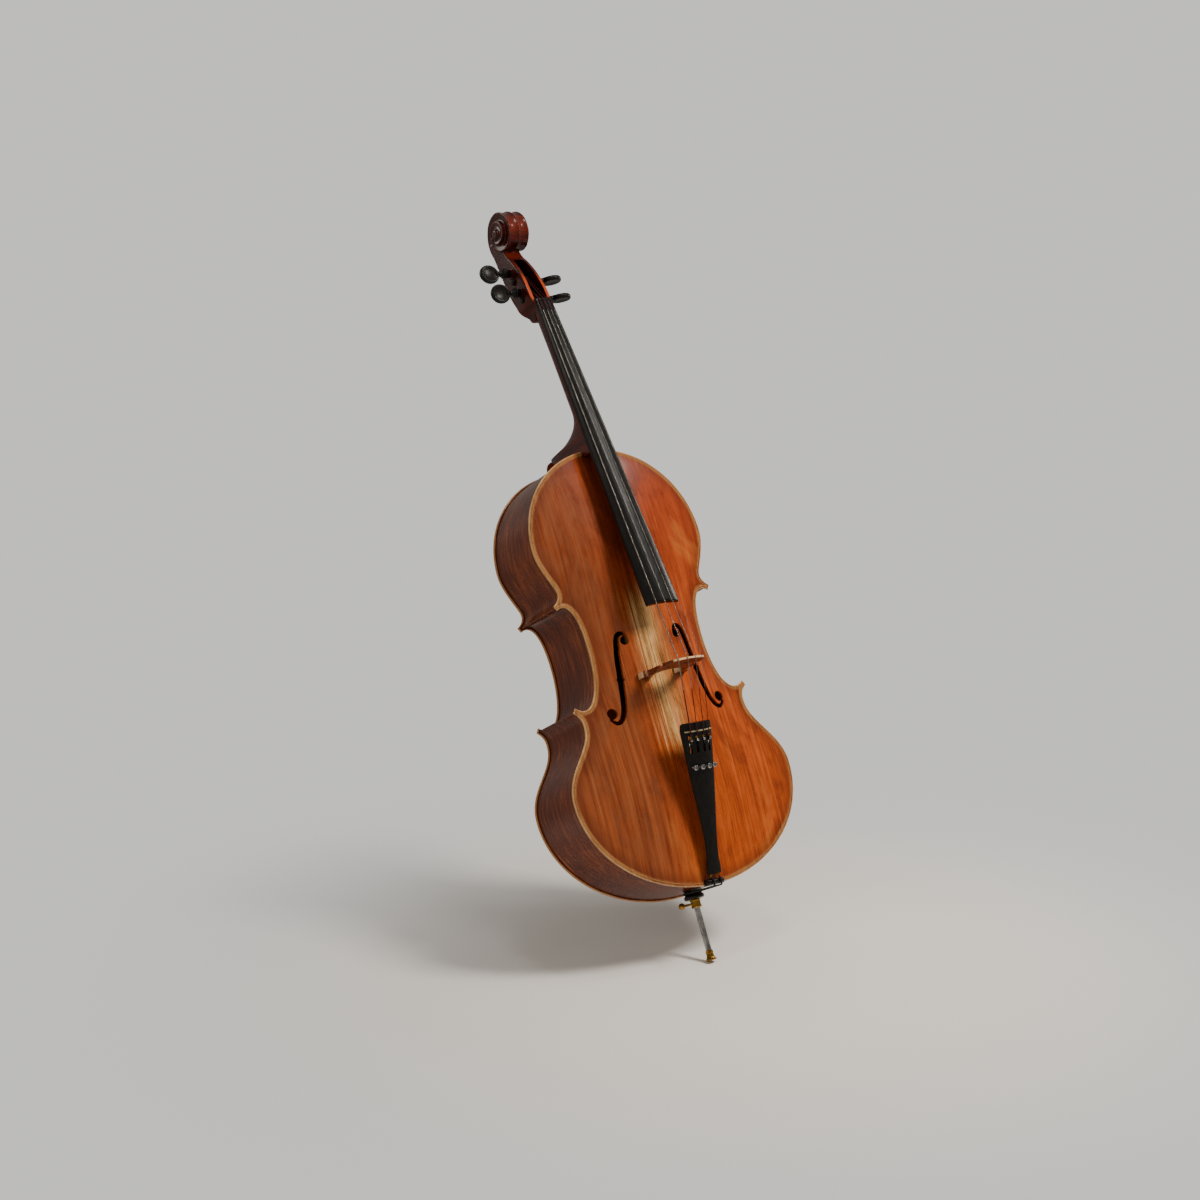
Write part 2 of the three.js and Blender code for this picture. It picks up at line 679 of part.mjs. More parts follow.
// Half widths down the tailpiece: a slightly bowed top, long straight sides and a small flare.
const TAIL_SIDES = [
  [TAIL.above, 27],
  [TAIL.above - 2, 30],
  [2, 31],
  [-70, 24.5],
  [-140, 16],
  [-180, 12],
  [-208, 11.5],
  [-226, 14],
  [tailEnd, 13.5],
];

function tailpiece() {
  const whole = loft(
    TAIL_SIDES.map(([z, half]) => {
      const back = tailFace(half) + TAIL.back;
      const face = arcPoints(8, (t) => half * (2 * t - 1)).map((x) => v3(x, tailFace(x), z));
      return [...face, v3(half - 1, back, z), v3(0, back + 0.01, z), v3(1 - half, back, z)];
    }),
  );
  const hollow = box([-21.5, TUNER.roof, -68], [21.5, 30, -5]);
  const slots = STRINGS.map(({ tail }) =>
    box([tail - TUNER.lever / 2 - GAP, -5, -35], [tail + TUNER.lever / 2 + GAP, TUNER.roof + 1, -7]),
  );
  const screwHoles = STRINGS.map(({ tail }) =>
    rod(TUNER.shank + GAP, -10, 12, 12, "y").translate(tail, 0, TUNER.screwZ),
  );
  const axleHole = rod(TUNER.axle + GAP, -24.5, 24.5, 12, "x").translate(0, TUNER.pivot.y, TUNER.pivot.z);
  const gutHoles = [-1, 1].map((side) =>
    rod(GUT.radius + 2 * GAP, tailEnd - 5, tailEnd + 20, 10).translate(side * GUT.half, GUT.deep, 0),
  );
  return cut(whole, hollow, ...slots, ...screwHoles, axleHole, ...gutHoles);
}
add(tailGroup, "tailpiece", tailpiece(), EBONY);

const fretArc = (radius, from, to) =>
  arcPoints(10, (t) => {
    const angle = THREE.MathUtils.lerp(from, to, t);
    return v2(radius * Math.sin(angle), TAIL.radius - radius * Math.cos(angle));
  });
const fretReach = Math.asin(FRET.half / TAIL.radius);
const fretRadius = TAIL.radius + GAP + FRET.height;
const fretShape = [
  ...fretArc(TAIL.radius + GAP, -fretReach, fretReach),
  ...fretArc(fretRadius, fretReach, -fretReach),
];
add(tailGroup, "tailpiece_fret", uprightPrism(fretShape, -FRET.thick / 2, FRET.thick / 2), PALE_FRET);

const axle = rod(TUNER.axle, -24, 24, 12, "x").translate(0, TUNER.pivot.y, TUNER.pivot.z);
add(tailGroup, "tuner_axle", axle, STEEL);

// A fine tuner's lever: a short arm that holds the string and a long arm behind the screw.
function tunerLever(x) {
  const { y, z } = TUNER.pivot;
  const profile = [
    [-2.6, -12],
    [-2.6, -15.5],
    [4, -18.5],
    [y - 3.4, z],
    [y - 1, z - 6],
    [y, TUNER.screwZ - 4],
    [y + 2.4, TUNER.screwZ - 4],
    [y + 3, z - 3],
    [y + 3, z + 2],
    [y, z + 4.5],
    [3, -11.5],
  ];
  const lever = sidePrism(profile.map(([a, b]) => v2(a, b)), x - TUNER.lever / 2, x + TUNER.lever / 2);
  return cut(lever, rod(TUNER.axle + GAP, -40, 40, 12, "x").translate(0, y, z));
}

for (const { name, tail } of STRINGS) {
  const underKnob = tailFace(tail) - TUNER.standOff;
  const tip = TUNER.pivot.y - GAP;
  add(tailGroup, `tuner_lever_${name}`, tunerLever(tail), STEEL);
  const shank = rod(TUNER.shank, underKnob, tip, 12, "y").translate(tail, 0, TUNER.screwZ);
  add(tailGroup, `tuner_screw_${name}`, shank, STEEL);
  const knobProfile = [[0, -GAP], [3, -GAP], [TUNER.knob, -1.5], [TUNER.knob, -5], [3.4, -6.2], [0, -6.2]];
  const knob = turned(knobProfile, 16, "y").translate(tail, underKnob, TUNER.screwZ);
  add(tailGroup, `tuner_knob_${name}`, knob, STEEL);
}

// ---------------------------------------------------------------- bridge
const bridgeTop = (x) => BRIDGE.height + Math.sqrt(BRIDGE.radius ** 2 - x * x) - BRIDGE.radius;

// The bridge is drawn from the front as [across, height over the belly's peak] for one side.
function bridgeShape() {
  const belly = (x) => outerArch(x, STOP) - ARCH + 2 * GAP;
  const top = arcPoints(6, (t) => [30 * t, bridgeTop(30 * t)]);
  const side = [
    [33, 78],
    [36.5, 68],
    [37.5, 60],
    [35, 57],
    [29, 58.5],
    [23, 56],
    [19.5, 51],
    [21, 46],
    [26, 44],
  ];
  const leg = [[33, 46], [37, 44], [37.5, 39], [35.5, 32], [36, 22], [39, 13], [45, 9], [46, 7]];
  const foot = [46, 38, 30, 24].map((x) => [x, belly(x)]);
  const inner = [[24, 7], [28, 12], [29, 20], [26, 29], [19, 35.5], [10, 39]];
  const right = [...top, ...side, ...leg, ...foot, ...inner];
  const left = right.slice(1).reverse().map(([x, h]) => [-x, h]);
  return [...right, [0, 38], ...left].map(([x, h]) => v2(x, h)).reverse();
}

function bridge() {
  const shape = new THREE.Shape(bridgeShape());
  const heart = [[0, 66], [4, 70], [8, 68], [8.5, 63], [5, 57], [0, 53]];
  const heartLeft = heart.slice(1, -1).reverse().map(([x, h]) => [-x, h]);
  shape.holes.push(new THREE.Path([...heart, ...heartLeft].map(([x, h]) => v2(x, h))));
  const blank = new THREE.ExtrudeGeometry(shape, { depth: 1, bevelEnabled: false });
  const place = blank.attributes.position;
  for (let i = 0; i < place.count; i++) {
    const [height, side] = [place.getY(i), place.getZ(i) - 0.5];
    const thick = THREE.MathUtils.mapLinear(height, 0, BRIDGE.height, BRIDGE.feetThick, BRIDGE.topThick);
    place.setXYZ(i, place.getX(i), -HALF_DEPTH - ARCH - height, STOP + side * thick);
  }
  return outward(blank);
}
add(body, "bridge", bridge(), BRIDGE_MAPLE);

// ---------------------------------------------------------------- strings
// Where a string leaves its winding on the way to the nut, in the neck's frame.
function offTheWinding(string, from) {
  const centre = v2(string.back, string.up);
  const radius = windingOuter(string) + string.radius + GAP;
  const toNut = from.clone().sub(centre);
  const turn = -Math.acos(radius / toNut.length());
  return toNut.setLength(radius).rotateAround(v2(0, 0), turn).add(centre);
}

for (const string of STRINGS) {
  const lift = string.radius + 0.7; // the string's middle over what it rests on
  const overNut = v2(crown(string.nut, BOARD.nutHalf, nutSide) - lift, NUT.length + 0.6);
  const offPeg = offTheWinding(string, overNut);
  const fretDepth = TAIL.radius - Math.sqrt((fretRadius + lift) ** 2 - string.tail ** 2);
  const route = [
    v3(string.wind, offPeg.x, offPeg.y).applyMatrix4(neckToBody),
    v3(string.nut, overNut.x, overNut.y).applyMatrix4(neckToBody),
    v3(string.bridge, -HALF_DEPTH - ARCH - bridgeTop(string.bridge) - lift, STOP),
    v3(string.tail, fretDepth, 0).applyMatrix4(tailGroup.matrix),
    v3(string.tail, 0.4, -9.6).applyMatrix4(tailGroup.matrix),
  ];
  add(body, `string_${string.name}`, taut(route, string.radius), STRING_STEEL);
}

// ---------------------------------------------------------------- the soundbox
const RIB_REACH = HALF_DEPTH - GAP;
const INSIDE = OVERHANG + RIB + GAP; // from the plate's edge to what lies inside the ribs

const heelFloor = BODY_LENGTH - HEEL.into - GAP;
const pocketRing = (z) => neckSection(z, HALF_DEPTH + 3, HEEL.fullness, HEEL.taper, 3 * GAP);
const neckPocket = loft([pocketRing(heelFloor), pocketRing(BODY_LENGTH + 5)]);
const plateNotch = box(
  [-HEEL.clear, -HALF_DEPTH - 20, heelFloor],
  [HEEL.clear, -HALF_DEPTH + 2, BODY_LENGTH + 5],
);
const saddleNotch = box(
  [-SADDLE.half - GAP, -HALF_DEPTH - 20, -5],
  [SADDLE.half + GAP, -HALF_DEPTH + 2, SADDLE.up + GAP],
);
add(body, "top_plate", cut(plate(-1), fHole(1), fHole(-1), plateNotch, saddleNotch), VARNISH);

const buttonEdge = arcPoints(12, (t) =>
  v2(BUTTON.half * Math.cos(Math.PI * t), BODY_LENGTH + BUTTON.up + BUTTON.half * Math.sin(Math.PI * t)),
);
const button = frontPrism(
  [v2(BUTTON.half, BODY_LENGTH - 8), ...buttonEdge, v2(-BUTTON.half, BODY_LENGTH - 8)],
  HALF_DEPTH,
  HALF_DEPTH + CHANNEL,
);
add(body, "back_plate", join(plate(1), button), VARNISH);

// The ribs meet on the centre line and at the corners. Each corner's joint runs along a line from
// a point inside the body out through the corner's tip.
const FAR = 250;
const JOINTS = { upper: [v2(110, 520), v2(156, 491.9)], lower: [v2(125, 285), v2(172.8, 319.6)] };

// The two ends of a joint's line, moved up or down by half a gap.
function jointLine([from, tip], shift) {
  const out = tip.clone().sub(from);
  const far = from.clone().addScaledVector(out, (FAR - from.x) / out.x);
  return [from, far].map((p) => v2(p.x, p.y + shift));
}

function boutArea(bout) {
  const half = GAP / 2;
  const centre = (z) => v2(half, z);
  const [upIn, upOut] = jointLine(JOINTS.upper, bout === "upper" ? half : -half);
  const [lowIn, lowOut] = jointLine(JOINTS.lower, bout === "lower" ? -half : half);
  const top = BODY_LENGTH + 40;
  if (bout === "upper") return [centre(upIn.y), upIn, upOut, v2(FAR, top), centre(top)];
  if (bout === "lower") return [centre(-40), v2(FAR, -40), lowOut, lowIn, centre(lowIn.y)];
  return [v2(50, lowIn.y), lowIn, lowOut, upOut, upIn, v2(50, upIn.y)];
}

const SIDES = { bass: -1, treble: 1 };
const garland = cut(
  bodyPrism(OVERHANG, -RIB_REACH, RIB_REACH),
  bodyPrism(OVERHANG + RIB, -HALF_DEPTH, HALF_DEPTH),
);
const socketHole = rod(SOCKET.plug + 2 * GAP, -30, SOCKET.inside + 8, 20);
for (const [sideName, side] of Object.entries(SIDES))
  for (const bout of ["upper", "middle", "lower"]) {
    const area = frontPrism(boutArea(bout).map((p) => v2(side * p.x, p.y)), -HALF_DEPTH, HALF_DEPTH);
    const rib = cut(common(garland, area), neckPocket, socketHole);
    add(body, `rib_${bout}_${sideName}`, rib, DARK_VARNISH);
  }

// The linings run right round under each plate, let into the corner and end blocks.
const liningBand = (side, grow) => {
  const depth = LINING.depth + grow;
  const reach = [RIB_REACH - depth, RIB_REACH + (grow > 0 ? 1 : 0)];
  const [near, far] = reach.map((y) => side * y).sort((a, b) => a - b);
  const inner = bodyPrism(INSIDE + LINING.width + grow, -HALF_DEPTH - 1, HALF_DEPTH + 1);
  return cut(bodyPrism(INSIDE - (grow > 0 ? GAP : 0), near, far), inner);
};
add(body, "front_linings", cut(liningBand(-1, 0), neckPocket, socketHole), WILLOW);
add(body, "back_linings", cut(liningBand(1, 0), neckPocket), WILLOW);

const liningRebates = [liningBand(-1, GAP), liningBand(1, GAP)];
const insideRibs = bodyPrism(INSIDE, -RIB_REACH, RIB_REACH);
function block(area, ...holes) {
  return cut(common(insideRibs, area), ...liningRebates, ...holes);
}
const endArea = (low, high) => box([-END_BLOCK.half, -HALF_DEPTH, low], [END_BLOCK.half, HALF_DEPTH, high]);
const upperArea = endArea(BODY_LENGTH - END_BLOCK.upper, BODY_LENGTH);
add(body, "upper_block", block(upperArea, neckPocket), WILLOW);
add(body, "lower_block", block(endArea(0, END_BLOCK.lower), socketHole), WILLOW);

const CORNERS = {
  upper: [[112, 478], [150, 465], [175, 480], [160, 540], [124, 545]],
  lower: [[124, 345], [138, 265], [185, 265], [195, 320], [165, 350]],
};
for (const [sideName, side] of Object.entries(SIDES))
  for (const [place, corners] of Object.entries(CORNERS)) {
    const area = frontPrism(corners.map(([x, z]) => v2(side * x, z)), -HALF_DEPTH, HALF_DEPTH);
    add(body, `corner_block_${place}_${sideName}`, block(area), WILLOW);
  }

// The sound post and the bass bar keep a little clear of the plates' hollow faces.
const postHeight = STOP - POST.below;
const overPost = circlePoints(8, POST.radius, POST.x, postHeight).map((p) => innerArch(p.x, p.y));
const postReach = HALF_DEPTH - 1 + Math.min(...overPost);
const soundPost = rod(POST.radius, -postReach, postReach, 14, "y").translate(POST.x, 0, postHeight);
add(body, "sound_post", soundPost, SPRUCE);

function bassBar() {
  const steps = 12;
  const hollow = (z) => Math.min(innerArch(BAR.x - BAR.half, z), innerArch(BAR.x + BAR.half, z));
  const under = (z) => -HALF_DEPTH + 1.3 - hollow(z);
  const height = (t) => THREE.MathUtils.lerp(BAR.low, BAR.high, t);
  const swell = (t) => BAR.ends + (BAR.deep - BAR.ends) * Math.sin(Math.PI * t) ** 0.8;
  const glued = arcPoints(steps, (t) => v2(under(height(t)), height(t)));
  const free = arcPoints(steps, (t) => v2(under(height(1 - t)) + swell(1 - t), height(1 - t)));
  return sidePrism([...glued, ...free], BAR.x - BAR.half, BAR.x + BAR.half);
}
add(body, "bass_bar", bassBar(), SPRUCE);

// ---------------------------------------------------------------- saddle and tail gut
const saddleTop = -HALF_DEPTH - EDGE - SADDLE.proud;
const saddleSide = [
  [-HALF_DEPTH, -1],
  [-HALF_DEPTH, SADDLE.up],
  [saddleTop + 9, SADDLE.up],
  [saddleTop + 1.5, SADDLE.up - 2],
  [saddleTop, SADDLE.up - 5],
  [saddleTop, 1.5],
  [saddleTop + 2.5, -1],
].map(([y, z]) => v2(y, z));
add(body, "saddle", sidePrism(saddleSide, -SADDLE.half, SADDLE.half), EBONY);

// The tail gut comes out of the tailpiece's end, bends over the saddle and loops round the collar.
function tailGut() {
  const inTail = (side, up) => v3(side * GUT.half, GUT.deep, tailEnd + up).applyMatrix4(tailGroup.matrix);
  const strand = (side) => [
    inTail(side, 14),
    inTail(side, 6),
    inTail(side, -1),
    v3(side * GUT.half, saddleTop - GUT.radius - 0.5, 5),
    v3(side * GUT.half, saddleTop - GUT.radius - 0.3, 1),
    v3(side * (GUT.half + 0.3), saddleTop + 1, -3.4),
    v3(side * (GUT.half + 1.5), -HALF_DEPTH, -3.2),
    v3(side * 13, -18, -1.5),
  ];
  const loop = SOCKET.groove + GUT.radius + 0.6;
  const round = arcPoints(8, (t) => v3(-loop * Math.cos(Math.PI * t), loop * Math.sin(Math.PI * t), -1));
  const points = [...strand(-1), ...round, ...strand(1).reverse()];
  const route = new THREE.CatmullRomCurve3(points, false, "centripetal");
  const section = new THREE.Shape(circlePoints(6, GUT.radius));
  return new THREE.ExtrudeGeometry(section, { steps: 56, extrudePath: route });
}
add(body, "tail_gut", tailGut(), BLACK_CORD);

// ---------------------------------------------------------------- endpin
const ribEnd = OVERHANG - GAP;
const bore = ROD.radius + GAP;
const socketProfile = [
  [bore, -SOCKET.below],
  [SOCKET.collar - 2.5, -SOCKET.below],
  [SOCKET.collar, -SOCKET.below + 2.5],
  [SOCKET.collar, -5.5],
  [SOCKET.groove, -3.4],
  [SOCKET.groove, 1.2],
  [SOCKET.collar - 1, ribEnd],
  [SOCKET.plug, ribEnd],
  [SOCKET.plug - 1, SOCKET.inside],
  [bore, SOCKET.inside],
  [bore, -SOCKET.below],
];
add(body, "endpin_socket", turned(socketProfile, 24), EBONY);

const ferruleTop = -SOCKET.below - GAP;
const ferruleLow = ferruleTop - FERRULE.height;
const ferruleProfile = [
  [bore, ferruleTop],
  [FERRULE.radius, ferruleTop],
  [FERRULE.radius, ferruleLow + 2],
  [FERRULE.radius - 1, ferruleLow],
  [bore, ferruleLow],
  [bore, ferruleTop],
];
const thumbHeight = (ferruleTop + ferruleLow) / 2;
const thumbHole = rod(THUMB.radius + GAP, -12, -1, 12, "x").translate(0, 0, thumbHeight);
add(body, "endpin_ferrule", cut(turned(ferruleProfile, 24), thumbHole), BRASS);

const footTop = FOOT.height - FLOOR_TO_BODY;
const rodProfile = [
  [0, footTop + GAP],
  [ROD.radius, footTop + GAP],
  [ROD.radius, ROD.inside - 4],
  [3, ROD.inside],
  [0, ROD.inside],
];
add(body, "endpin_rod", turned(rodProfile, 20), STEEL);

const footProfile = [
  [0, -FLOOR_TO_BODY],
  [FOOT.bottom, -FLOOR_TO_BODY],
  [FOOT.bottom, -FLOOR_TO_BODY + 2],
  [FOOT.top, footTop - 5],
  [FOOT.top, footTop],
  [0, footTop],
];
add(body, "endpin_foot", turned(footProfile, 24), BRASS);

const thumbScrew = rod(THUMB.radius, -THUMB.out, -ROD.radius - GAP, 12, "x").translate(0, 0, thumbHeight);
add(body, "thumb_screw", thumbScrew, BRASS);
const ball = arcPoints(8, (t) => [THUMB.ball * Math.sin(Math.PI * t), -THUMB.ball * Math.cos(Math.PI * t)]);
const ballAt = -THUMB.out - GAP - THUMB.ball;
add(body, "thumb_screw_head", turned(ball, 16, "x").translate(ballAt, 0, thumbHeight), BRASS);

export default cello;
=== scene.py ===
import json
import math

import bmesh
import bpy
import numpy as np
from mathutils import Matrix, Vector
from mathutils.geometry import delaunay_2d_cdt


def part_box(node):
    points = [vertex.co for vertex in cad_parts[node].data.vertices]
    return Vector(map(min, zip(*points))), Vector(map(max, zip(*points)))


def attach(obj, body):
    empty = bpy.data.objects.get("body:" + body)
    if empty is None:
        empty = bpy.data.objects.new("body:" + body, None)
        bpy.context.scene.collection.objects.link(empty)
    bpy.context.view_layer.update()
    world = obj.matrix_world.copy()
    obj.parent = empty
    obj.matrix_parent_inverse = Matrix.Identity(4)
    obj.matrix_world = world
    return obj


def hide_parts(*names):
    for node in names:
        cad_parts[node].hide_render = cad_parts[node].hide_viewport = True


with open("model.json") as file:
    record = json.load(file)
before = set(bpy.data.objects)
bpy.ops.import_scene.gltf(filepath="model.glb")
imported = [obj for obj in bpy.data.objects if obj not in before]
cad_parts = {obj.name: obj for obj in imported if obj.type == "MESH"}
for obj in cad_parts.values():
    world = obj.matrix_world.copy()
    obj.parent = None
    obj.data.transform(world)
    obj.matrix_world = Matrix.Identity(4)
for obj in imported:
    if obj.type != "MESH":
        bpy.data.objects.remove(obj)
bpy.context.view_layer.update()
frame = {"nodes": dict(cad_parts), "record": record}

# Shapes are worked out in millimetres in the frame's own axes, and turned into metres by piece() and
# object_from().
MM = 0.001
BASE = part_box("back_plate")[0][2] / MM  # the body's lower edge over the foot's underside

# ---------------------------------------------------------------- camera, light and floor
# The cello leans back and to one side in its picture. In the cello's own axes the camera therefore
# stands a little below its middle and is rolled, and the floor is a tilted plane under the foot.
AIM = np.array([0.0, 0.0, 500.0 + BASE])
AZIMUTH, ELEVATION, ROLL = (math.radians(a) for a in (-34.4, -10.96, -15.39))
OFFSET = np.array([22.3, 7.2, 4043.0])  # the aim point in the camera's right, down and forward axes
FLOOR_PITCH, FLOOR_SIDES = math.radians(13), 64
FLOOR_REACH, FLOOR_DROP = 1.3, 0.004  # metres, as the lights' sizes and distances are


def camera_axes():
    """The camera's right, down and forward directions."""
    back = np.array([
        math.sin(AZIMUTH) * math.cos(ELEVATION),
        -math.cos(AZIMUTH) * math.cos(ELEVATION),
        math.sin(ELEVATION),
    ])
    right = np.cross(-back, [0, 0, 1])
    right /= np.linalg.norm(right)
    up = np.cross(right, -back)
    cos, sin = math.cos(ROLL), math.sin(ROLL)
    return np.array([cos * right + sin * up, sin * right - cos * up, -back])


RIGHT, DOWN, FORWARD = camera_axes()


def make_camera():
    data = bpy.data.cameras.new("camera")
    data.lens, data.sensor_width = 72, 36
    camera = bpy.data.objects.new("camera", data)
    bpy.context.scene.collection.objects.link(camera)
    place = AIM - OFFSET @ np.array([RIGHT, DOWN, FORWARD])
    turn = Matrix(np.array([RIGHT, -DOWN, -FORWARD]).T.tolist()).to_4x4()
    camera.matrix_world = Matrix.Translation(Vector(place * MM)) @ turn
    bpy.context.scene.camera = camera


def area_light(name, towards, distance, size, power, colour, glossy=True):
    """A soft light in the direction given as right, down and forward parts, aimed at the cello."""
    data = bpy.data.lights.new(name, "AREA")
    data.size, data.energy, data.color = size, power, colour
    light = bpy.data.objects.new(name, data)
    light.visible_glossy = glossy
    bpy.context.scene.collection.objects.link(light)
    way = Vector(np.array(towards) @ np.array([RIGHT, DOWN, FORWARD])).normalized()
    light.location = Vector(AIM * MM) + way * distance
    light.rotation_euler = way.to_track_quat("Z", "Y").to_euler()


def node(tree, kind, inputs=None, **settings):
    """Adds a shader node. An input's value is a number, a colour or another node's socket."""
    made = tree.nodes.new(kind)
    for name, value in settings.items():
        setattr(made, name, value)
    for name, value in (inputs or {}).items():
        if isinstance(value, bpy.types.NodeSocket):
            tree.links.new(value, made.inputs[name])
        else:
            made.inputs[name].default_value = value
    return made


def band(tree, value, low, high, to_low=0.0, to_high=1.0):
    """A smooth step from one value to another."""
    inputs = {"Value": value, "From Min": low, "From Max": high, "To Min": to_low, "To Max": to_high}
    return node(tree, "ShaderNodeMapRange", inputs, interpolation_type="SMOOTHSTEP").outputs[0]


def calc(tree, operation, *values):
    return node(tree, "ShaderNodeMath", dict(enumerate(values)), operation=operation).outputs[0]


def times(tree, first, second):
    return calc(tree, "MULTIPLY", first, second)


def plus(tree, first, second):
    return calc(tree, "ADD", first, second)


def make_world():
    world = bpy.data.worlds.new("studio")
    bpy.context.scene.world = world
    world.use_nodes = True
    tree = world.node_tree
    tree.nodes.clear()
    seen = node(tree, "ShaderNodeBackground", {"Color": (0.80, 0.79, 0.77, 1), "Strength": 1.0})
    light = node(tree, "ShaderNodeBackground", {"Color": (0.90, 0.83, 0.74, 1), "Strength": 0.27})
    path = node(tree, "ShaderNodeLightPath")
    choice = {0: path.outputs["Is Camera Ray"], 1: light.outputs[0], 2: seen.outputs[0]}
    both = node(tree, "ShaderNodeMixShader", choice)
    node(tree, "ShaderNodeOutputWorld", {"Surface": both.outputs[0]})


def make_floor():
    """A pale floor under the foot that fades out into the background."""
    up = -DOWN * math.cos(FLOOR_PITCH) - FORWARD * math.sin(FLOOR_PITCH)
    turn = Vector(up).to_track_quat("Z", "Y").to_matrix()
    angles = np.linspace(0, 2 * math.pi, FLOOR_SIDES, endpoint=False)
    ring = [turn @ Vector((FLOOR_REACH * math.cos(a), FLOOR_REACH * math.sin(a), 0)) for a in angles]
    faces = [(0, 1 + i, 1 + (i + 1) % FLOOR_SIDES) for i in range(FLOOR_SIDES)]
    mesh = bpy.data.meshes.new("floor")
    mesh.from_pydata([Vector((0, 0, 0)), *ring], [], faces)
    floor = bpy.data.objects.new("floor", mesh)
    floor.location = Vector(up) * -FLOOR_DROP
    bpy.context.scene.collection.objects.link(floor)
    material = bpy.data.materials.new("floor")
    material.use_nodes = True
    tree = material.node_tree
    tree.nodes.clear()
    place = node(tree, "ShaderNodeTexCoord")
    far = node(tree, "ShaderNodeVectorMath", {0: place.outputs["Object"]}, operation="LENGTH")
    fade = band(tree, far.outputs["Value"], 0.25, 1.15)
    side = node(tree, "ShaderNodeNewGeometry")
    hide = calc(tree, "MAXIMUM", fade, side.outputs["Backfacing"])
    look = {"Base Color": (0.78, 0.765, 0.74, 1), "Roughness": 0.85}
    paint = node(tree, "ShaderNodeBsdfPrincipled", look)
    clear = node(tree, "ShaderNodeBsdfTransparent")
    both = node(tree, "ShaderNodeMixShader", {0: hide, 1: paint.outputs[0], 2: clear.outputs[0]})
    node(tree, "ShaderNodeOutputMaterial", {"Surface": both.outputs[0]})
    mesh.materials.append(material)


make_camera()
make_world()
make_floor()
area_light("key", (0.68, -0.68, -0.36), 2.4, 0.6, 72, (1.0, 0.92, 0.82), glossy=False)
area_light("glint", (0.63, -0.77, -0.09), 2.4, 0.32, 5, (1.0, 0.96, 0.9))
area_light("sheen", (0.73, -0.41, 0.55), 2.6, 0.4, 4, (1.0, 0.93, 0.84))
area_light("fill", (-0.7, -0.1, -1.0), 3.0, 2.2, 23, (1.0, 0.93, 0.84), glossy=False)
area_light("rim", (-0.9, -0.5, 0.35), 2.6, 0.7, 6, (1.0, 0.9, 0.8))
area_light("streak", (0.15, -1.0, -0.35), 2.8, 0.5, 9, (1.0, 0.95, 0.9))

# ---------------------------------------------------------------- materials


def rgb(code):
    """A colour from its usual six-digit code, made linear."""
    parts = [int(code[i:i + 2], 16) / 255 for i in (0, 2, 4)]
    return tuple(c / 12.92 if c <= 0.04045 else ((c + 0.055) / 1.055) ** 2.4 for c in parts) + (1,)


def mix(tree, share, first, second):
    return node(tree, "ShaderNodeMix", {0: share, 6: first, 7: second}, data_type="RGBA").outputs[2]


def ramp(tree, value, *stops):
    """A colour that follows a value through (place, colour code) stops."""
    made = node(tree, "ShaderNodeValToRGB", {"Fac": value})
    spots = made.color_ramp.elements
    while len(spots) < len(stops):
        spots.new(0.5)
    for spot, (place, code) in zip(spots, stops):
        spot.position, spot.color = place, rgb(code)
    return made.outputs["Color"]


def noise(tree, place, scale, detail=3.0, rough=0.5, twist=0.0):
    """Noise drawn out by a scale along each axis."""
    drawn = node(tree, "ShaderNodeMapping", {"Vector": place, "Scale": scale}).outputs[0]
    inputs = {"Vector": drawn, "Scale": 1.0, "Detail": detail, "Roughness": rough, "Distortion": twist}
    return node(tree, "ShaderNodeTexNoise", inputs).outputs["Fac"]


def start(name):
    """An empty material, with the place on the object as a socket and as separate X, Y and Z."""
    material = bpy.data.materials.new(name)
    material.use_nodes = True
    tree = material.node_tree
    tree.nodes.clear()
    place = node(tree, "ShaderNodeTexCoord").outputs["Object"]
    axes = node(tree, "ShaderNodeSeparateXYZ", {0: place})
    return material, tree, place, axes.outputs


def facing(tree):
    """The X, Y and Z parts of the direction that the surface faces."""
    way = node(tree, "ShaderNodeTexCoord").outputs["Normal"]
    return node(tree, "ShaderNodeSeparateXYZ", {0: way}).outputs


def finish_with(tree, colour, roughness, bump=None, depth=0.0002, **shader):
    """Ends a material in a Principled shader with its constant settings on the sockets."""
    main = node(tree, "ShaderNodeBsdfPrincipled", {"Base Color": colour, "Roughness": roughness})
    for name, value in shader.items():
        main.inputs[name.replace("_", " ")].default_value = value
    if bump is not None:
        relief = node(tree, "ShaderNodeBump", {"Height": bump, "Strength": 1.0, "Distance": depth})
        tree.links.new(relief.outputs[0], main.inputs["Normal"])
    node(tree, "ShaderNodeOutputMaterial", {"Surface": main.outputs[0]})


def purfled(tree, edge, colour):
    """Lays the purfling's dark, pale and dark strips into a plate, at their distances from the edge."""
    for near, far, code in ((4.1, 4.5, "120905"), (4.5, 5.0, "c49a62"), (5.0, 5.4, "120905")):
        beyond, before = calc(tree, "GREATER_THAN", edge, near), calc(tree, "LESS_THAN", edge, far)
        strip = times(tree, beyond, before)
        colour = mix(tree, strip, colour, rgb(code))
    return colour


def worn_edge(tree, place, reach=1.5):
    """Where the edge of a plate is rubbed through to pale wood, from the plate's edge distance."""
    edge = node(tree, "ShaderNodeAttribute", attribute_name="edge").outputs["Fac"]
    rubbed = plus(tree, edge, times(tree, noise(tree, place, (40, 40, 40)), 2.4))
    return edge, band(tree, rubbed, reach + 2.0, reach)


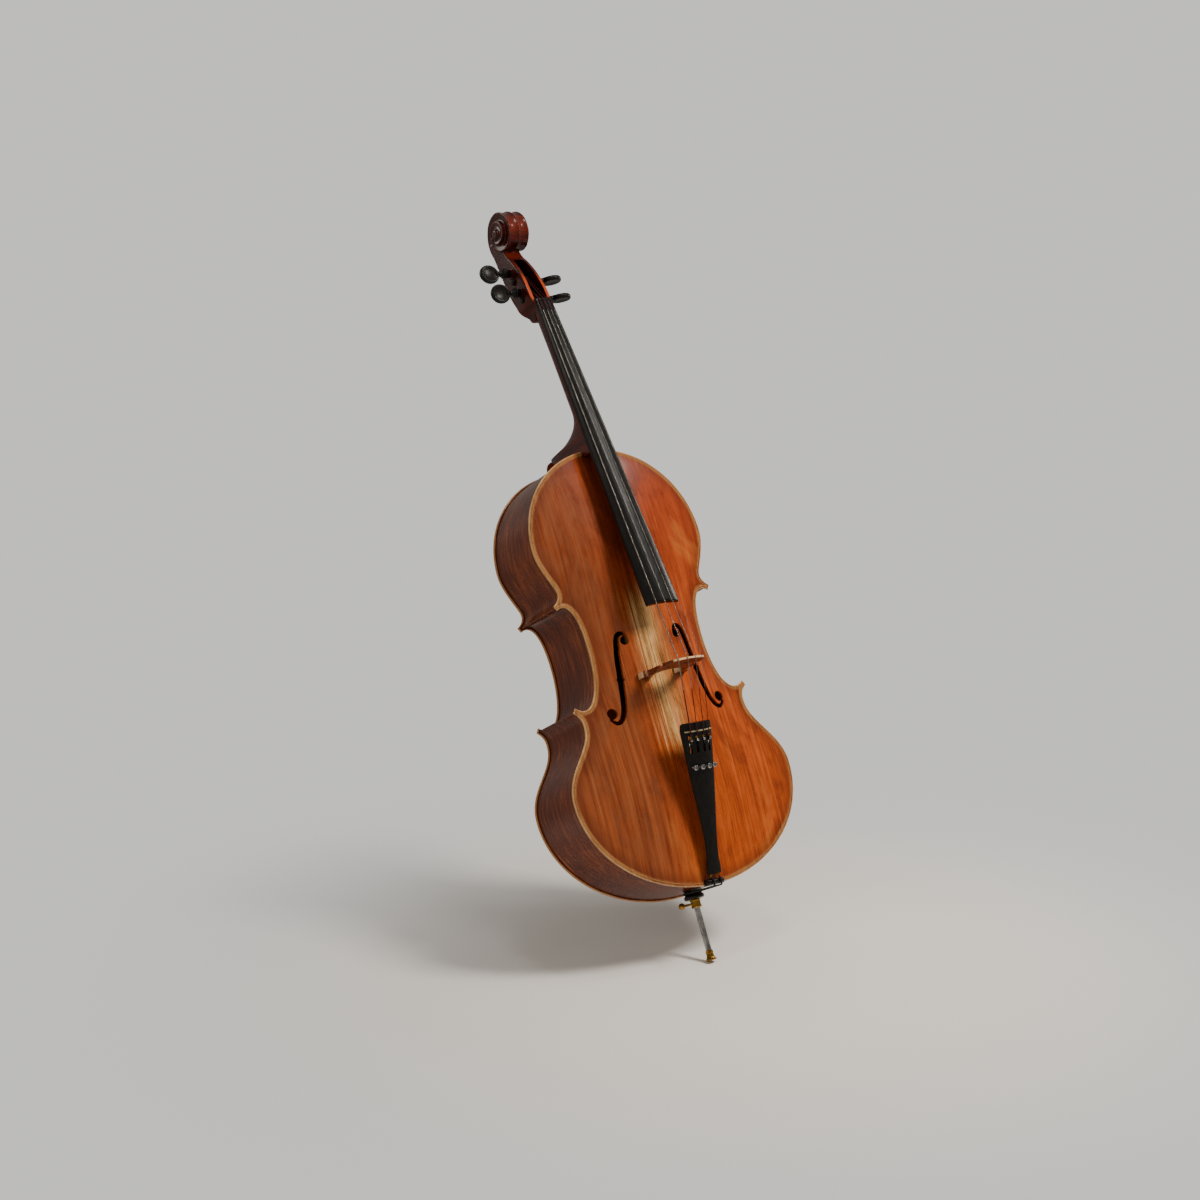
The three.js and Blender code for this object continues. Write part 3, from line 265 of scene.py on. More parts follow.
def belly_material():
    """Spruce under orange-brown varnish: fine upright grain, redder above, golden below."""
    material, tree, place, (x, _, z) = start("belly_varnish")
    lines = noise(tree, place, (1100, 100, 8), detail=4, rough=0.7)
    broad = noise(tree, place, (150, 30, 2.6), detail=5, rough=0.6)
    patches = noise(tree, place, (11, 8, 6.5), detail=4, rough=0.6, twist=0.8)
    brushed = noise(tree, place, (60, 40, 22), detail=5, rough=0.65, twist=0.4)
    grain = plus(tree, times(tree, lines, 0.42), times(tree, broad, 0.38))
    grain = plus(tree, grain, times(tree, brushed, 0.20))
    golden = ramp(tree, grain, (0.34, "5a1e09"), (0.46, "953b0f"), (0.56, "b44f16"), (0.68, "d07429"))
    red = ramp(tree, grain, (0.34, "451306"), (0.46, "7d2c0c"), (0.56, "993c12"), (0.68, "b5541d"))
    height = plus(tree, z, times(tree, patches, 0.22))
    colour = mix(tree, band(tree, height, 0.52, 0.86), golden, red)
    dark = band(tree, patches, 0.49, 0.66, 0.0, 0.62)
    colour = mix(tree, dark, colour, rgb("5c1f08"))
    bright = band(tree, patches, 0.44, 0.32, 0.0, 0.22)
    colour = mix(tree, bright, colour, rgb("dd8a35"))
    # painted shade: the bass side, and the soundholes' surroundings, made browner and darker
    bass = times(tree, band(tree, x, -0.01, -0.09), band(tree, brushed, 0.25, 0.7, 0.5, 0.85))
    colour = mix(tree, bass, colour, ramp(tree, grain, (0.36, "4c2210"), (0.64, "8c5230")))
    # the pale strip from the fingerboard's end to the tailpiece: rosin and wear, with a painted reflection
    # along the belly's peak
    middle = plus(tree, x, times(tree, z, -0.022))
    ragged = times(tree, calc(tree, "SUBTRACT", broad, 0.5), 0.10)
    across = calc(tree, "ABSOLUTE", plus(tree, plus(tree, middle, 0.016), ragged))
    along = times(tree, band(tree, z, 0.315, 0.385), band(tree, z, 0.64, 0.57))
    pale = ramp(tree, grain, (0.40, "3f210e"), (0.46, "94632f"), (0.53, "cfa468"), (0.64, "efd5a4"))
    for far, near, strength in ((0.05, 0.018, 0.3), (0.020, 0.010, 0.9)):
        share = times(tree, times(tree, band(tree, across, far, near), along), strength)
        colour = mix(tree, share, colour, pale)
    edge, worn = worn_edge(tree, place)
    colour = mix(tree, times(tree, band(tree, edge, 30, 6), 0.5), colour, rgb("4c1a08"))
    inside_rim = times(tree, band(tree, edge, 9, 6.5), band(tree, patches, 0.35, 0.6, 0.15, 0.8))
    colour = mix(tree, inside_rim, colour, ramp(tree, grain, (0.35, "7d4a22"), (0.65, "b57c45")))
    colour = purfled(tree, edge, colour)
    colour = mix(tree, worn, colour, ramp(tree, grain, (0.35, "a8743f"), (0.65, "e4bd86")))
    gloss = plus(tree, times(tree, brushed, 0.16), 0.20)
    relief = plus(tree, lines, times(tree, brushed, 0.6))
    settings = {"Coat_Weight": 0.15, "Coat_Roughness": 0.1, "Specular_IOR_Level": 0.4}
    finish_with(tree, colour, gloss, relief, 0.00005, **settings)
    return material


def maple_material(name, dark, middle, light, figure_axis="z", wear=False, lit=None):
    """Figured maple under dark varnish: faint bands across the grain and cloudy depth."""
    material, tree, place, (_, _, z) = start(name)
    scale = {"z": (14, 10, 150), "y": (60, 260, 14)}[figure_axis]
    flames = noise(tree, place, scale, detail=3, rough=0.55, twist=0.8)
    pores = noise(tree, place, (500, 500, 40), detail=3, rough=0.6)
    clouds = noise(tree, place, (9, 9, 6), detail=3)
    value = plus(tree, times(tree, flames, 0.5), times(tree, clouds, 0.35))
    value = plus(tree, value, times(tree, pores, 0.15))
    colour = ramp(tree, value, (0.34, dark), (0.52, middle), (0.68, light))
    if wear:
        edge, worn = worn_edge(tree, place, 2.2)
        colour = purfled(tree, edge, colour)
        colour = mix(tree, times(tree, worn, 0.85), colour, rgb("c08a58"))
    if lit:
        # painted light: faces turned to the front take the lit colour, mostly below the throat
        front = times(tree, facing(tree)["Y"], -1.0)
        rim = times(tree, band(tree, front, 0.72, 0.95), band(tree, clouds, 0.25, 0.6, 0.6, 1.0))
        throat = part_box("neck")[1][2] - 0.132
        rim = times(tree, rim, band(tree, z, throat + 0.012, throat - 0.012, 0.12, 1.0))
        colour = mix(tree, rim, colour, rgb(lit))
    gloss = plus(tree, times(tree, pores, 0.14), 0.20)
    settings = {"Coat_Weight": 0.2, "Coat_Roughness": 0.1, "Specular_IOR_Level": 0.35}
    finish_with(tree, colour, gloss, pores, 0.00004, **settings)
    return material


def ebony_material():
    material, tree, place, _ = start("ebony")
    grain = noise(tree, place, (420, 300, 22), detail=5, rough=0.65)
    smudges = noise(tree, place, (30, 30, 14), detail=3)
    colour = ramp(tree, grain, (0.34, "050404"), (0.56, "0d0a09"), (0.74, "211a16"))
    gloss = plus(tree, times(tree, smudges, 0.22), 0.20)
    settings = {"Coat_Weight": 0.1, "Coat_Roughness": 0.2, "Specular_IOR_Level": 0.4}
    finish_with(tree, colour, gloss, grain, 0.00004, **settings)
    return material


def bare_wood_material(name, dark, light, scale=(300, 300, 9)):
    material, tree, place, _ = start(name)
    grain = noise(tree, place, scale, detail=5, rough=0.6, twist=0.3)
    finish_with(tree, ramp(tree, grain, (0.34, dark), (0.66, light)), 0.7, grain, 0.00008)
    return material


def bridge_material():
    """Brown flecked maple, pale along its top and on the ends of its feet: paler end grain under a painted
    highlight.
    """
    material, tree, place, (_, y, _) = start("bridge_maple")
    grain = noise(tree, place, (60, 420, 420), detail=5, rough=0.6, twist=0.3)
    flecks = noise(tree, place, (240, 240, 900), detail=3, rough=0.6)
    value = plus(tree, times(tree, grain, 0.65), times(tree, flecks, 0.35))
    colour = ramp(tree, value, (0.34, "3a140a"), (0.52, "6e2e16"), (0.68, "9c5530"))
    face = facing(tree)
    # painted highlight with paler end grain: faces turned up along the top and sideways at the feet
    top = times(tree, band(tree, face["Y"], -0.78, -0.92), band(tree, y, -0.156, -0.162))
    sideways = calc(tree, "ABSOLUTE", face["X"])
    end = times(tree, band(tree, sideways, 0.5, 0.8), band(tree, y, -0.100, -0.094))
    pale = ramp(tree, value, (0.36, "b98655"), (0.64, "edcda0"))
    colour = mix(tree, calc(tree, "MAXIMUM", top, end), colour, pale)
    finish_with(tree, colour, 0.42, value, 0.00005)
    return material


def metal_material(name, dark, light, roughness):
    material, tree, place, _ = start(name)
    tarnish = noise(tree, place, (120, 120, 60), detail=4, rough=0.6)
    turning = noise(tree, place, (60, 60, 2500), detail=2)
    gloss = plus(tree, times(tree, tarnish, 0.18), roughness)
    finish_with(tree, ramp(tree, tarnish, (0.35, dark), (0.62, light)), gloss, turning, 0.00001, Metallic=1.0)
    return material


MATERIALS = {
    "belly_varnish": belly_material(),
    # the neck's varnish carries a painted lit orange on its faces turned to the front
    "dark_varnish": maple_material("dark_varnish", "1e0605", "3f0d0a", "661a10", lit="a8421c"),
    "back_varnish": maple_material("back_varnish", "280906", "54180b", "8a3a18", wear=True),
    "rib_varnish": maple_material("rib_varnish", "2c0d06", "62270f", "9e5226", figure_axis="y"),
    "ebony": ebony_material(),
    "bare_spruce": bare_wood_material("bare_spruce", "a07844", "d8b880"),
    "bare_willow": bare_wood_material("bare_willow", "96703f", "cda873"),
    "bridge_maple": bridge_material(),
    "pale_fret": bare_wood_material("pale_fret", "6e6146", "a89b78", (200, 200, 200)),
    "steel": metal_material("steel", "8d8d8d", "d2d2d0", 0.18),
    "brass": metal_material("brass", "7c5a22", "c99b49", 0.2),
    "string_steel": metal_material("string_steel", "8e8a82", "d6d2c8", 0.26),
    "string_silk": bare_wood_material("string_silk", "1e0509", "4c101c", (900, 900, 900)),
    "tail_cord": bare_wood_material("tail_cord", "0d0b0a", "231d19", (700, 700, 700)),
}

slots = {part["node"]: part["material_slot"] for part in frame["record"]["subparts"]}
for name in frame["nodes"]:
    mesh = bpy.data.objects[name].data
    mesh.materials.clear()
    mesh.materials.append(MATERIALS[slots[name]])


def faced_out(name, points, faces, attributes=None):
    """A mesh whose faces point outwards, from points in metres."""
    mesh = bpy.data.meshes.new(name)
    mesh.from_pydata(points, [], [list(map(int, f)) for f in faces])
    for key, values in (attributes or {}).items():
        mesh.attributes.new(key, "FLOAT", "POINT").data.foreach_set("value", values)
    work = bmesh.new()
    work.from_mesh(mesh)
    bmesh.ops.recalc_face_normals(work, faces=work.faces)
    work.to_mesh(mesh)
    work.free()
    return mesh


def piece(name, points, faces, material, body="cello", nodes=(), crease=35, attributes=None):
    """Makes a smooth-shaded mesh from points in millimetres and lets it ride on a body."""
    mesh = faced_out(name, [Vector(p) * MM for p in points], faces, attributes)
    mesh.materials.append(MATERIALS[material])
    mesh.shade_smooth()
    mesh.set_sharp_from_angle(angle=math.radians(crease))
    made = bpy.data.objects.new(name, mesh)
    bpy.context.scene.collection.objects.link(made)
    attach(made, body)
    if nodes:
        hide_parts(*nodes)
    return made


def fine(name, shape, material, body="cello", attributes=None):
    """A fine shape in place of the CAD node that it is named after."""
    piece(f"{name}_fine", *shape, material, body=body, nodes=[name], attributes=attributes)


def ring_faces(count, rings, caps=False):
    """Faces between closed rings of points that follow each other."""
    faces = []
    for low in range(0, (rings - 1) * count, count):
        high = low + count
        for i in range(count):
            beside = (i + 1) % count
            faces.append((low + i, low + beside, high + beside, high + i))
    if caps:
        faces += [tuple(range(count)), tuple((rings - 1) * count + i for i in range(count))]
    return faces


def loft(rings):
    """A closed skin through rings of points."""
    return np.vstack(rings), ring_faces(len(rings[0]), len(rings), caps=True)


# ---------------------------------------------------------------- the body's outline
BODY_LENGTH = 755.0
HALF_DEPTH, EDGE, CHANNEL, ARCH, PLATE = 59.0, 4.8, 3.8, 25.0, 4.6
OVERHANG, RIB = 3.5, 1.8
# The treble half from the top down, as the corners' long stretches and short ends.
OUTLINE = [
    [
        ((0, 755), (92, 755), (170, 684), (170, 592)),
        ((170, 592), (170, 567), (154, 541.2), (146, 523)),
        ((146, 523), (140.4, 510.2), (149.5, 501.2), (158, 496)),
    ],
    [((158, 496), (156.4, 493.3), (154.8, 490.5), (153.2, 487.8))],
    [
        ((153.2, 487.8), (128.5, 502.4), (115, 470), (115, 412)),
        ((115, 412), (115, 355), (134.8, 297.6), (170, 324)),
    ],
    [((170, 324), (171.6, 321.3), (173.3, 318.5), (174.9, 315.8))],
    [
        ((174.9, 315.8), (162.1, 306.2), (160.8, 297.9), (162.5, 284)),
        ((162.5, 284), (166.8, 248.4), (219, 222), (219, 172)),
        ((219, 172), (219, 74), (118, 0), (0, 0)),
    ],
]


def bezier(corners, step=3.0):
    """Points along a cubic curve about a step apart, without its last point."""
    a, b, c, d = (np.array(p, float) for p in corners)
    count = max(3, round(np.linalg.norm(d - a) / step))
    t = np.arange(count)[:, None] / count
    return a * (1 - t) ** 3 + 3 * b * t * (1 - t) ** 2 + 3 * c * t * t * (1 - t) + d * t ** 3


STRETCHES = [np.vstack([*(bezier(c) for c in curves), curves[-1][3]]) for curves in OUTLINE]


def moved_in(points, distance):
    """A stretch moved inwards, its corner ends run on so that it can meet its neighbour."""
    way = np.gradient(points, axis=0)
    for end in (0, -1):
        if points[end][0] == 0:
            way[end] = (1, 0) if end == 0 else (-1, 0)
    way /= np.linalg.norm(way, axis=1)[:, None]
    moved = points + np.column_stack([way[:, 1], -way[:, 0]]) * distance
    for end, run_on in ((0, -1), (-1, 1)):
        if points[end][0] != 0:
            extra = moved[end] + way[end] * run_on * (distance + 2)
            moved = np.vstack([extra, moved] if end == 0 else [moved, extra])
    return moved


def trimmed(first, second):
    """Both stretches, each ended where they cross, or None if they don't."""
    for i in range(len(first) - 2, -1, -1):
        a, along = first[i], first[i + 1] - first[i]
        c, other = second[:-1], second[1:] - second[:-1]
        base = along[0] * other[:, 1] - along[1] * other[:, 0]
        gap = c - a
        with np.errstate(divide="ignore", invalid="ignore"):
            t = (gap[:, 0] * other[:, 1] - gap[:, 1] * other[:, 0]) / base
            u = (gap[:, 0] * along[1] - gap[:, 1] * along[0]) / base
        hits = np.flatnonzero((t >= 0) & (t <= 1) & (u >= 0) & (u <= 1))
        if len(hits):
            at = a + along * t[hits[0]]
            return np.vstack([first[:i + 1], at]), np.vstack([at, second[hits[0] + 1:]])
    return None


def stretches_inside(distance):
    """The half outline's three long stretches at a distance inside the edge."""
    upper, upper_end, middle, lower_end, lower = [moved_in(s, distance) for s in STRETCHES]

    def corner(first, end, second):
        one = trimmed(first, end)
        two = trimmed(end, second)
        if one and two and np.dot(two[1][0] - one[0][-1], end[-1] - end[0]) > 0:
            return one[0], two[1]
        return trimmed(first, second)

    upper, middle = corner(upper, upper_end, middle)
    middle, lower = corner(middle, lower_end, lower)
    return upper, middle, lower


def outline(distance=0.0):
    """The closed outline, going down the treble side first."""
    if distance == 0:
        half = np.vstack([s if i == 0 else s[1:] for i, s in enumerate(STRETCHES)])
    else:
        half = np.vstack(stretches_inside(distance))
    keep = np.ones(len(half), bool)
    keep[1:] = np.linalg.norm(np.diff(half, axis=0), axis=1) > 0.05
    half = half[keep]
    half[0][0] = half[-1][0] = 0
    return np.vstack([half, half[-2:0:-1] * (-1, 1)])


def inside(polygon, points):
    """Which points lie inside a polygon."""
    x, z = points[:, :1], points[:, 1:]
    (px, pz), (qx, qz) = polygon.T, np.roll(polygon, -1, axis=0).T
    with np.errstate(divide="ignore", invalid="ignore"):
        crossed = ((pz > z) != (qz > z)) & (x < (qx - px) * (z - pz) / (qz - pz) + px)
    return crossed.sum(axis=1) % 2 == 1


# ---------------------------------------------------------------- the arching
CELL, ROUNDS, HURRY = 2.5, 1400, 1.97  # the grid's step, and how often and how fast the skin is relaxed
SPAN_X, SPAN_LOW, SPAN_HIGH = 225.0, -5.0, BODY_LENGTH + 5


def blown_skin():
    """The height of a thin skin blown up inside the outline, on a grid."""
    xs = np.arange(-SPAN_X, SPAN_X + CELL, CELL)
    zs = np.arange(SPAN_LOW, SPAN_HIGH + CELL, CELL)
    grid = np.stack(np.meshgrid(xs, zs), axis=-1)
    within = inside(outline(), grid.reshape(-1, 2)).reshape(grid.shape[:2])
    within[[0, -1]] = within[:, [0, -1]] = False
    odd = np.add.outer(np.arange(len(zs)), np.arange(len(xs))) % 2 == 1
    height = np.zeros(within.shape)
    for _ in range(ROUNDS):
        for colour in (odd & within, ~odd & within):
            around = sum(np.roll(height, step, axis) for axis in (0, 1) for step in (1, -1))
            height[colour] += HURRY * ((around[colour] + CELL * CELL) / 4 - height[colour])
    return height


SKIN = blown_skin()


def skin_at(x, z):
    col, row = (x + SPAN_X) / CELL, (z - SPAN_LOW) / CELL
    c, r = np.floor(col).astype(int), np.floor(row).astype(int)
    fc, fr = col - c, row - r
    low = SKIN[r, c] * (1 - fc) + SKIN[r, c + 1] * fc
    high = SKIN[r + 1, c] * (1 - fc) + SKIN[r + 1, c + 1] * fc
    return low * (1 - fr) + high * fr


def rise(x, z):
    level = skin_at(np.zeros_like(z), np.clip(z, 200, 575))
    return np.clip(skin_at(x, z) / level, 0, 1) ** 1.4


def arch_over(x, z):
    return CHANNEL + (ARCH - CHANNEL) * rise(x, z)


def outer_height(x, z, edge):
    """The plate's outer face: a rounded rim, a scooped channel, then the arching."""
    half = EDGE / 2
    rounded = half + np.sqrt(np.clip(half ** 2 - np.clip(half - edge, 0, half) ** 2, 0, None))
    scoop = 0.5 - 0.5 * np.cos(np.pi * np.clip((edge - 3.0) / 4.5, 0, 1))
    return rounded * (1 - scoop) + arch_over(x, z) * scoop


def inner_height(x, z, edge):
    """The plate's inner face: flat where it is glued, hollow beyond."""
    half = EDGE / 2
    rounded = half - np.sqrt(np.clip(half ** 2 - np.clip(half - edge, 0, half) ** 2, 0, None))
    hollow = np.clip((ARCH - PLATE) * rise(x, z) - 0.6, 0, None) * np.clip((edge - 14) / 12, 0, 1)
    return rounded + hollow


# ---------------------------------------------------------------- f-holes
F_STEM = [
    (47, 423), (53, 431.5), (64, 427), (71, 398), (77, 354),
    (84, 314), (93, 292), (104, 286), (114, 294),
]
F_EYES = [(52, 419, 7.5), (108, 303, 9.0)]
F_WIDTH = 11.0


def spline(points, count):
    """A smooth curve through points, evenly stepped from one to the next."""
    p = np.array(points, float)
    p = np.vstack([2 * p[0] - p[1], p, 2 * p[-1] - p[-2]])
    t = np.linspace(0, len(p) - 3, count)
    k = np.clip(t.astype(int), 0, len(p) - 4)
    f = (t - k)[:, None]
    a, b, c, d = p[k], p[k + 1], p[k + 2], p[k + 3]
    square, cube = 2 * a - 5 * b + 4 * c - d, 3 * b - a - 3 * c + d
    return 0.5 * (2 * b + (c - a) * f + square * f ** 2 + cube * f ** 3)


def f_hole(side):
    """The outline of one sound hole: a swelling stem with nicks, between two round eyes."""
    count = 90
    line = spline(F_STEM, count)
    way = np.gradient(line, axis=0)
    way /= np.linalg.norm(way, axis=1)[:, None]
    across = np.column_stack([-way[:, 1], way[:, 0]])
    share = np.linspace(0, 1, count)
    half = F_WIDTH * (0.2 + 0.3 * np.sin(np.pi * share))
    half += 1.7 * np.clip(1 - np.abs(line[:, 1] - 356) / 2.4, 0, 1)  # the nicks
    edges = []
    for turn in (1, -1):
        edge = line + across * (half * turn)[:, None]
        clear = np.ones(count, bool)
        for x, z, radius in F_EYES:
            clear &= np.hypot(edge[:, 0] - x, edge[:, 1] - z) > radius + 0.4
        edges.append(edge[clear])
    down, back = edges[0], edges[1][::-1]

    def arc(eye, come, leave):
        """The way round an eye, clockwise."""
        x, z, radius = eye
        a = math.atan2(come[1] - z, come[0] - x)
        b = math.atan2(leave[1] - z, leave[0] - x)
        if b > a:
            b -= 2 * math.pi
        angles = np.linspace(a, b, 26)[1:-1]
        return np.column_stack([x + radius * np.cos(angles), z + radius * np.sin(angles)])

    upper, lower = F_EYES
    loop = [down, arc(lower, down[-1], back[0]), back, arc(upper, back[-1], down[0])]
    return np.vstack(loop) * (side, 1)


# ---------------------------------------------------------------- plates
RING_DEPTHS = [0, 0.3, 0.9, 1.7, 2.4, 3.1, 4.1, 4.5, 5.0, 5.4, 6.6, 8.2, 10.5, 13.5, 17]
GRID = 5.5
HEEL_HALF, HEEL_FLOOR = 24.6, BODY_LENGTH - 12.3
SADDLE_HALF, SADDLE_UP = 17.0, 9.0


def edge_distance(points):
    """How far points lie from the outline."""
    line = outline()
    a, along = line, np.roll(line, -1, axis=0) - line
    length = (along ** 2).sum(axis=1)
    nearest = np.full(len(points), np.inf)
    for first in range(0, len(points), 2000):
        gap = points[first:first + 2000, None] - a
        t = np.clip((gap * along).sum(axis=2) / length, 0, 1)
        away = np.linalg.norm(gap - along * t[..., None], axis=2)
        nearest[first:first + 2000] = away.min(axis=1)
    return nearest


def rectangle(half, low, high, step=2.0):
    """A rectangle's outline with closely spaced points."""
    across = np.linspace(-half, half, round(2 * half / step) + 1)
    up = np.linspace(low, high, round((high - low) / step) + 1)
    return np.vstack([
        *([(x, low)] for x in across[:-1]),
        *([(half, z)] for z in up[:-1]),
        *([(x, high)] for x in across[:0:-1]),
        *([(-half, z)] for z in up[:0:-1]),
    ])


def clear_of(loop, points, gap):
    """Which of the points are farther than the gap from the loop's points."""
    return np.min(np.linalg.norm(points[:, None] - loop[None], axis=2), axis=1) > gap


def triangulated(loops, filling, outer, holes):
    """Triangles through the loops' and the filling's points, inside the outer loop and outside the holes."""
    points, edges = [], []
    for loop in loops:
        first = len(points)
        points += [tuple(p) for p in loop]
        edges += [(first + i, first + (i + 1) % len(loop)) for i in range(len(loop))]
    points += [tuple(p) for p in filling]
    result = delaunay_2d_cdt([Vector(p) for p in points], edges, [], 0, 1e-4)
    flat = np.array([tuple(p) for p in result[0]])
    faces = np.array([f for f in result[2] if len(f) == 3])
    middles = flat[faces].mean(axis=1)
    good = inside(outer, middles)
    for hole in holes:
        good &= ~inside(hole, middles)
    return flat, faces[good]


def shell_faces(faces, count):
    """Two layers of the same triangles, count points apart, with walls along their open edges."""
    pairs = {tuple(pair) for f in faces for pair in ((f[0], f[1]), (f[1], f[2]), (f[2], f[0]))}
    walls = [(b, a, a + count, b + count) for a, b in pairs if (b, a) not in pairs]
    return [*faces, *(faces[:, ::-1] + count), *walls]


def plate_points(holes):
    """Points, edge distances and triangles that fill the outline, in X and Z."""
    rows = np.arange(2, BODY_LENGTH, GRID * 0.87)
    columns = np.arange(-222, 222, GRID)
    filling = np.array([(x + (i % 2) * GRID / 2, z) for i, z in enumerate(rows) for x in columns])
    keep = inside(outline(RING_DEPTHS[-1] + 2.5), filling)
    for hole in holes:
        keep &= clear_of(hole[::2], filling, 2.6)
    loops = [*(outline(d) for d in RING_DEPTHS), *holes]
    flat, faces = triangulated(loops, filling[keep], outline(), holes)
    return flat, edge_distance(flat), faces


def plate(name, side, material, holes=()):
    """A plate as a closed shell: its outer face, its inner face and the walls of its openings."""
    flat, depth, faces = plate_points(holes)
    x, z = flat.T
    outer = np.column_stack([x, side * (HALF_DEPTH + outer_height(x, z, depth)), z + BASE])
    inner = np.column_stack([x, side * (HALF_DEPTH + inner_height(x, z, depth)), z + BASE])
    shell = shell_faces(faces, len(flat))
    points = np.vstack([outer, inner])
    used = np.unique(np.concatenate([np.array(f) for f in shell]))
    number = np.full(len(points), -1)
    number[used] = np.arange(len(used))
    faces = [[number[k] for k in f] for f in shell]
    edge = {"edge": np.concatenate([depth, depth])[used]}
    fine(name, (points[used], faces), material, attributes=edge)


plate("top_plate", -1, "belly_varnish", holes=[
    f_hole(1),
    f_hole(-1),
    rectangle(HEEL_HALF, HEEL_FLOOR, BODY_LENGTH + 3),
    rectangle(SADDLE_HALF + 0.3, -3, SADDLE_UP + 0.3),
])
plate("back_plate", 1, "back_varnish")

# ---------------------------------------------------------------- ribs


def rib(name, stretch, side):
    """One rib: a bent strip of maple between the plates, following the outline."""
    outer = stretch[np.r_[True, np.linalg.norm(np.diff(stretch, axis=0), axis=1) > 0.2]]
    way = np.gradient(outer, axis=0)
    way /= np.linalg.norm(way, axis=1)[:, None]
    inner = outer + np.column_stack([way[:, 1], -way[:, 0]]) * RIB
    reach = HALF_DEPTH - 0.3
    loops = []
    for (ox, oz), (ix, iz) in zip(outer, inner):
        loops.append([
            (side * ox, -reach, oz + BASE),
            (side * ox, reach, oz + BASE),
            (side * ix, reach, iz + BASE),
            (side * ix, -reach, iz + BASE),
        ])
    fine(name, loft(loops), "rib_varnish")


for side_name, side in (("bass", -1), ("treble", 1)):
    upper, middle, lower = stretches_inside(OVERHANG)
    upper = upper[upper[:, 0] > 12]  # the heel covers its start
    for bout, stretch in (("upper", upper), ("middle", middle), ("lower", lower)):
        rib(f"rib_{bout}_{side_name}", stretch, side)

# ---------------------------------------------------------------- shapes from points
# A shape is a pair of points and faces, so that shapes can be joined, cut and softened together.


def tube(path, radius, sides=12):
    """A round tube along a path, without twist. The radius may change along it."""
    path = np.array(path, float)
    way = np.gradient(path, axis=0)
    way /= np.linalg.norm(way, axis=1)[:, None]
    across = np.cross(way[0], (0.3, 0.9, 0.1))
    rings = []
    angles = np.linspace(0, 2 * np.pi, sides, endpoint=False)
    for p, w, r in zip(path, way, np.broadcast_to(radius, len(path))):
        across = across - w * np.dot(across, w)
        across /= np.linalg.norm(across)
        other = np.cross(w, across)
        rings.append(p + r * (np.outer(np.cos(angles), across) + np.outer(np.sin(angles), other)))
    return loft(rings)


def turned(profile, sides=64, axis="z", centre=(0, 0, 0)):
    """A turned shape from [radius, place along the axis] pairs. Radii of 0 close it."""
    profile = np.array(profile, float)
    angles = np.linspace(0, 2 * np.pi, sides, endpoint=False)
    rings = []
    for radius, along in profile:
        radius = max(radius, 0.01)
        ring = np.column_stack([radius * np.cos(angles), radius * np.sin(angles), np.full(sides, along)])
        rings.append(ring)
    points = np.vstack(rings)
    order = {"z": (0, 1, 2), "x": (2, 0, 1), "y": (1, 2, 0)}[axis]
    closed = np.allclose(profile[0], profile[-1])
    if closed:
        points = points[:-sides]
        faces = ring_faces(sides, len(profile) - 1)
        last = (len(profile) - 2) * sides
        faces += [(last + i, last + (i + 1) % sides, (i + 1) % sides, i) for i in range(sides)]
    else:
        faces = ring_faces(sides, len(profile), caps=True)
    return points[:, order] + np.array(centre), faces


def softened(profile, radius, steps=4):
    """A profile with its inner corners rounded."""
    profile = np.array(profile, float)
    smooth = [profile[0]]
    for before, corner, after in zip(profile, profile[1:], profile[2:]):
        come, leave = before - corner, after - corner
        reach = min(radius, 0.45 * np.linalg.norm(come), 0.45 * np.linalg.norm(leave))
        a = corner + come / np.linalg.norm(come) * reach
        b = corner + leave / np.linalg.norm(leave) * reach
        for t in np.linspace(0, 1, steps + 1):
            smooth.append((1 - t) ** 2 * a + 2 * t * (1 - t) * corner + t * t * b)
    return np.array([*smooth, profile[-1]])


def prism(outline_points, low, high, across):
    """A prism from a flat outline. across is the axis it runs along: x, y or z."""
    flat = np.array(outline_points, float)
    rings = [np.insert(flat, "xyz".index(across), end, axis=1) for end in (low, high)]
    return loft(rings)


def box_shape(low, high):
    (x0, y0, z0), (x1, y1, z1) = low, high
    return prism([(y0, z0), (y1, z0), (y1, z1), (y0, z1)], x0, x1, "x")


def moved(shape, matrix):
    """A shape taken through a matrix."""
    points, faces = shape
    matrix = np.array(matrix)
    return points @ matrix[:3, :3].T + matrix[:3, 3], faces


def button():
    """The back's half-round end, which the neck's heel stands on."""
    half, up = 17.0, 7.0
    rings = []
    for depth, inset in ((59.1, 0.5), (59.5, 0.1), (60.2, 0.0), (61.8, 0.0), (62.4, 0.2), (62.8, 0.8)):
        radius = half - inset
        top = BODY_LENGTH + up
        half_turn = np.linspace(0, math.pi, 33)
        arc = [(radius * math.cos(a), top + radius * math.sin(a)) for a in half_turn]
        flat = [(radius, BODY_LENGTH - 3), *arc, (-radius, BODY_LENGTH - 3)]
        rings.append([(x, depth, z + BASE) for x, z in flat])
    return loft(np.array(rings))


piece("back_plate_button", *button(), "dark_varnish")


def object_from(shape):
    points, faces = shape
    mesh = faced_out("work", (np.array(points) * MM).tolist(), faces)
    made = bpy.data.objects.new("work", mesh)
    bpy.context.scene.collection.objects.link(made)
    return made


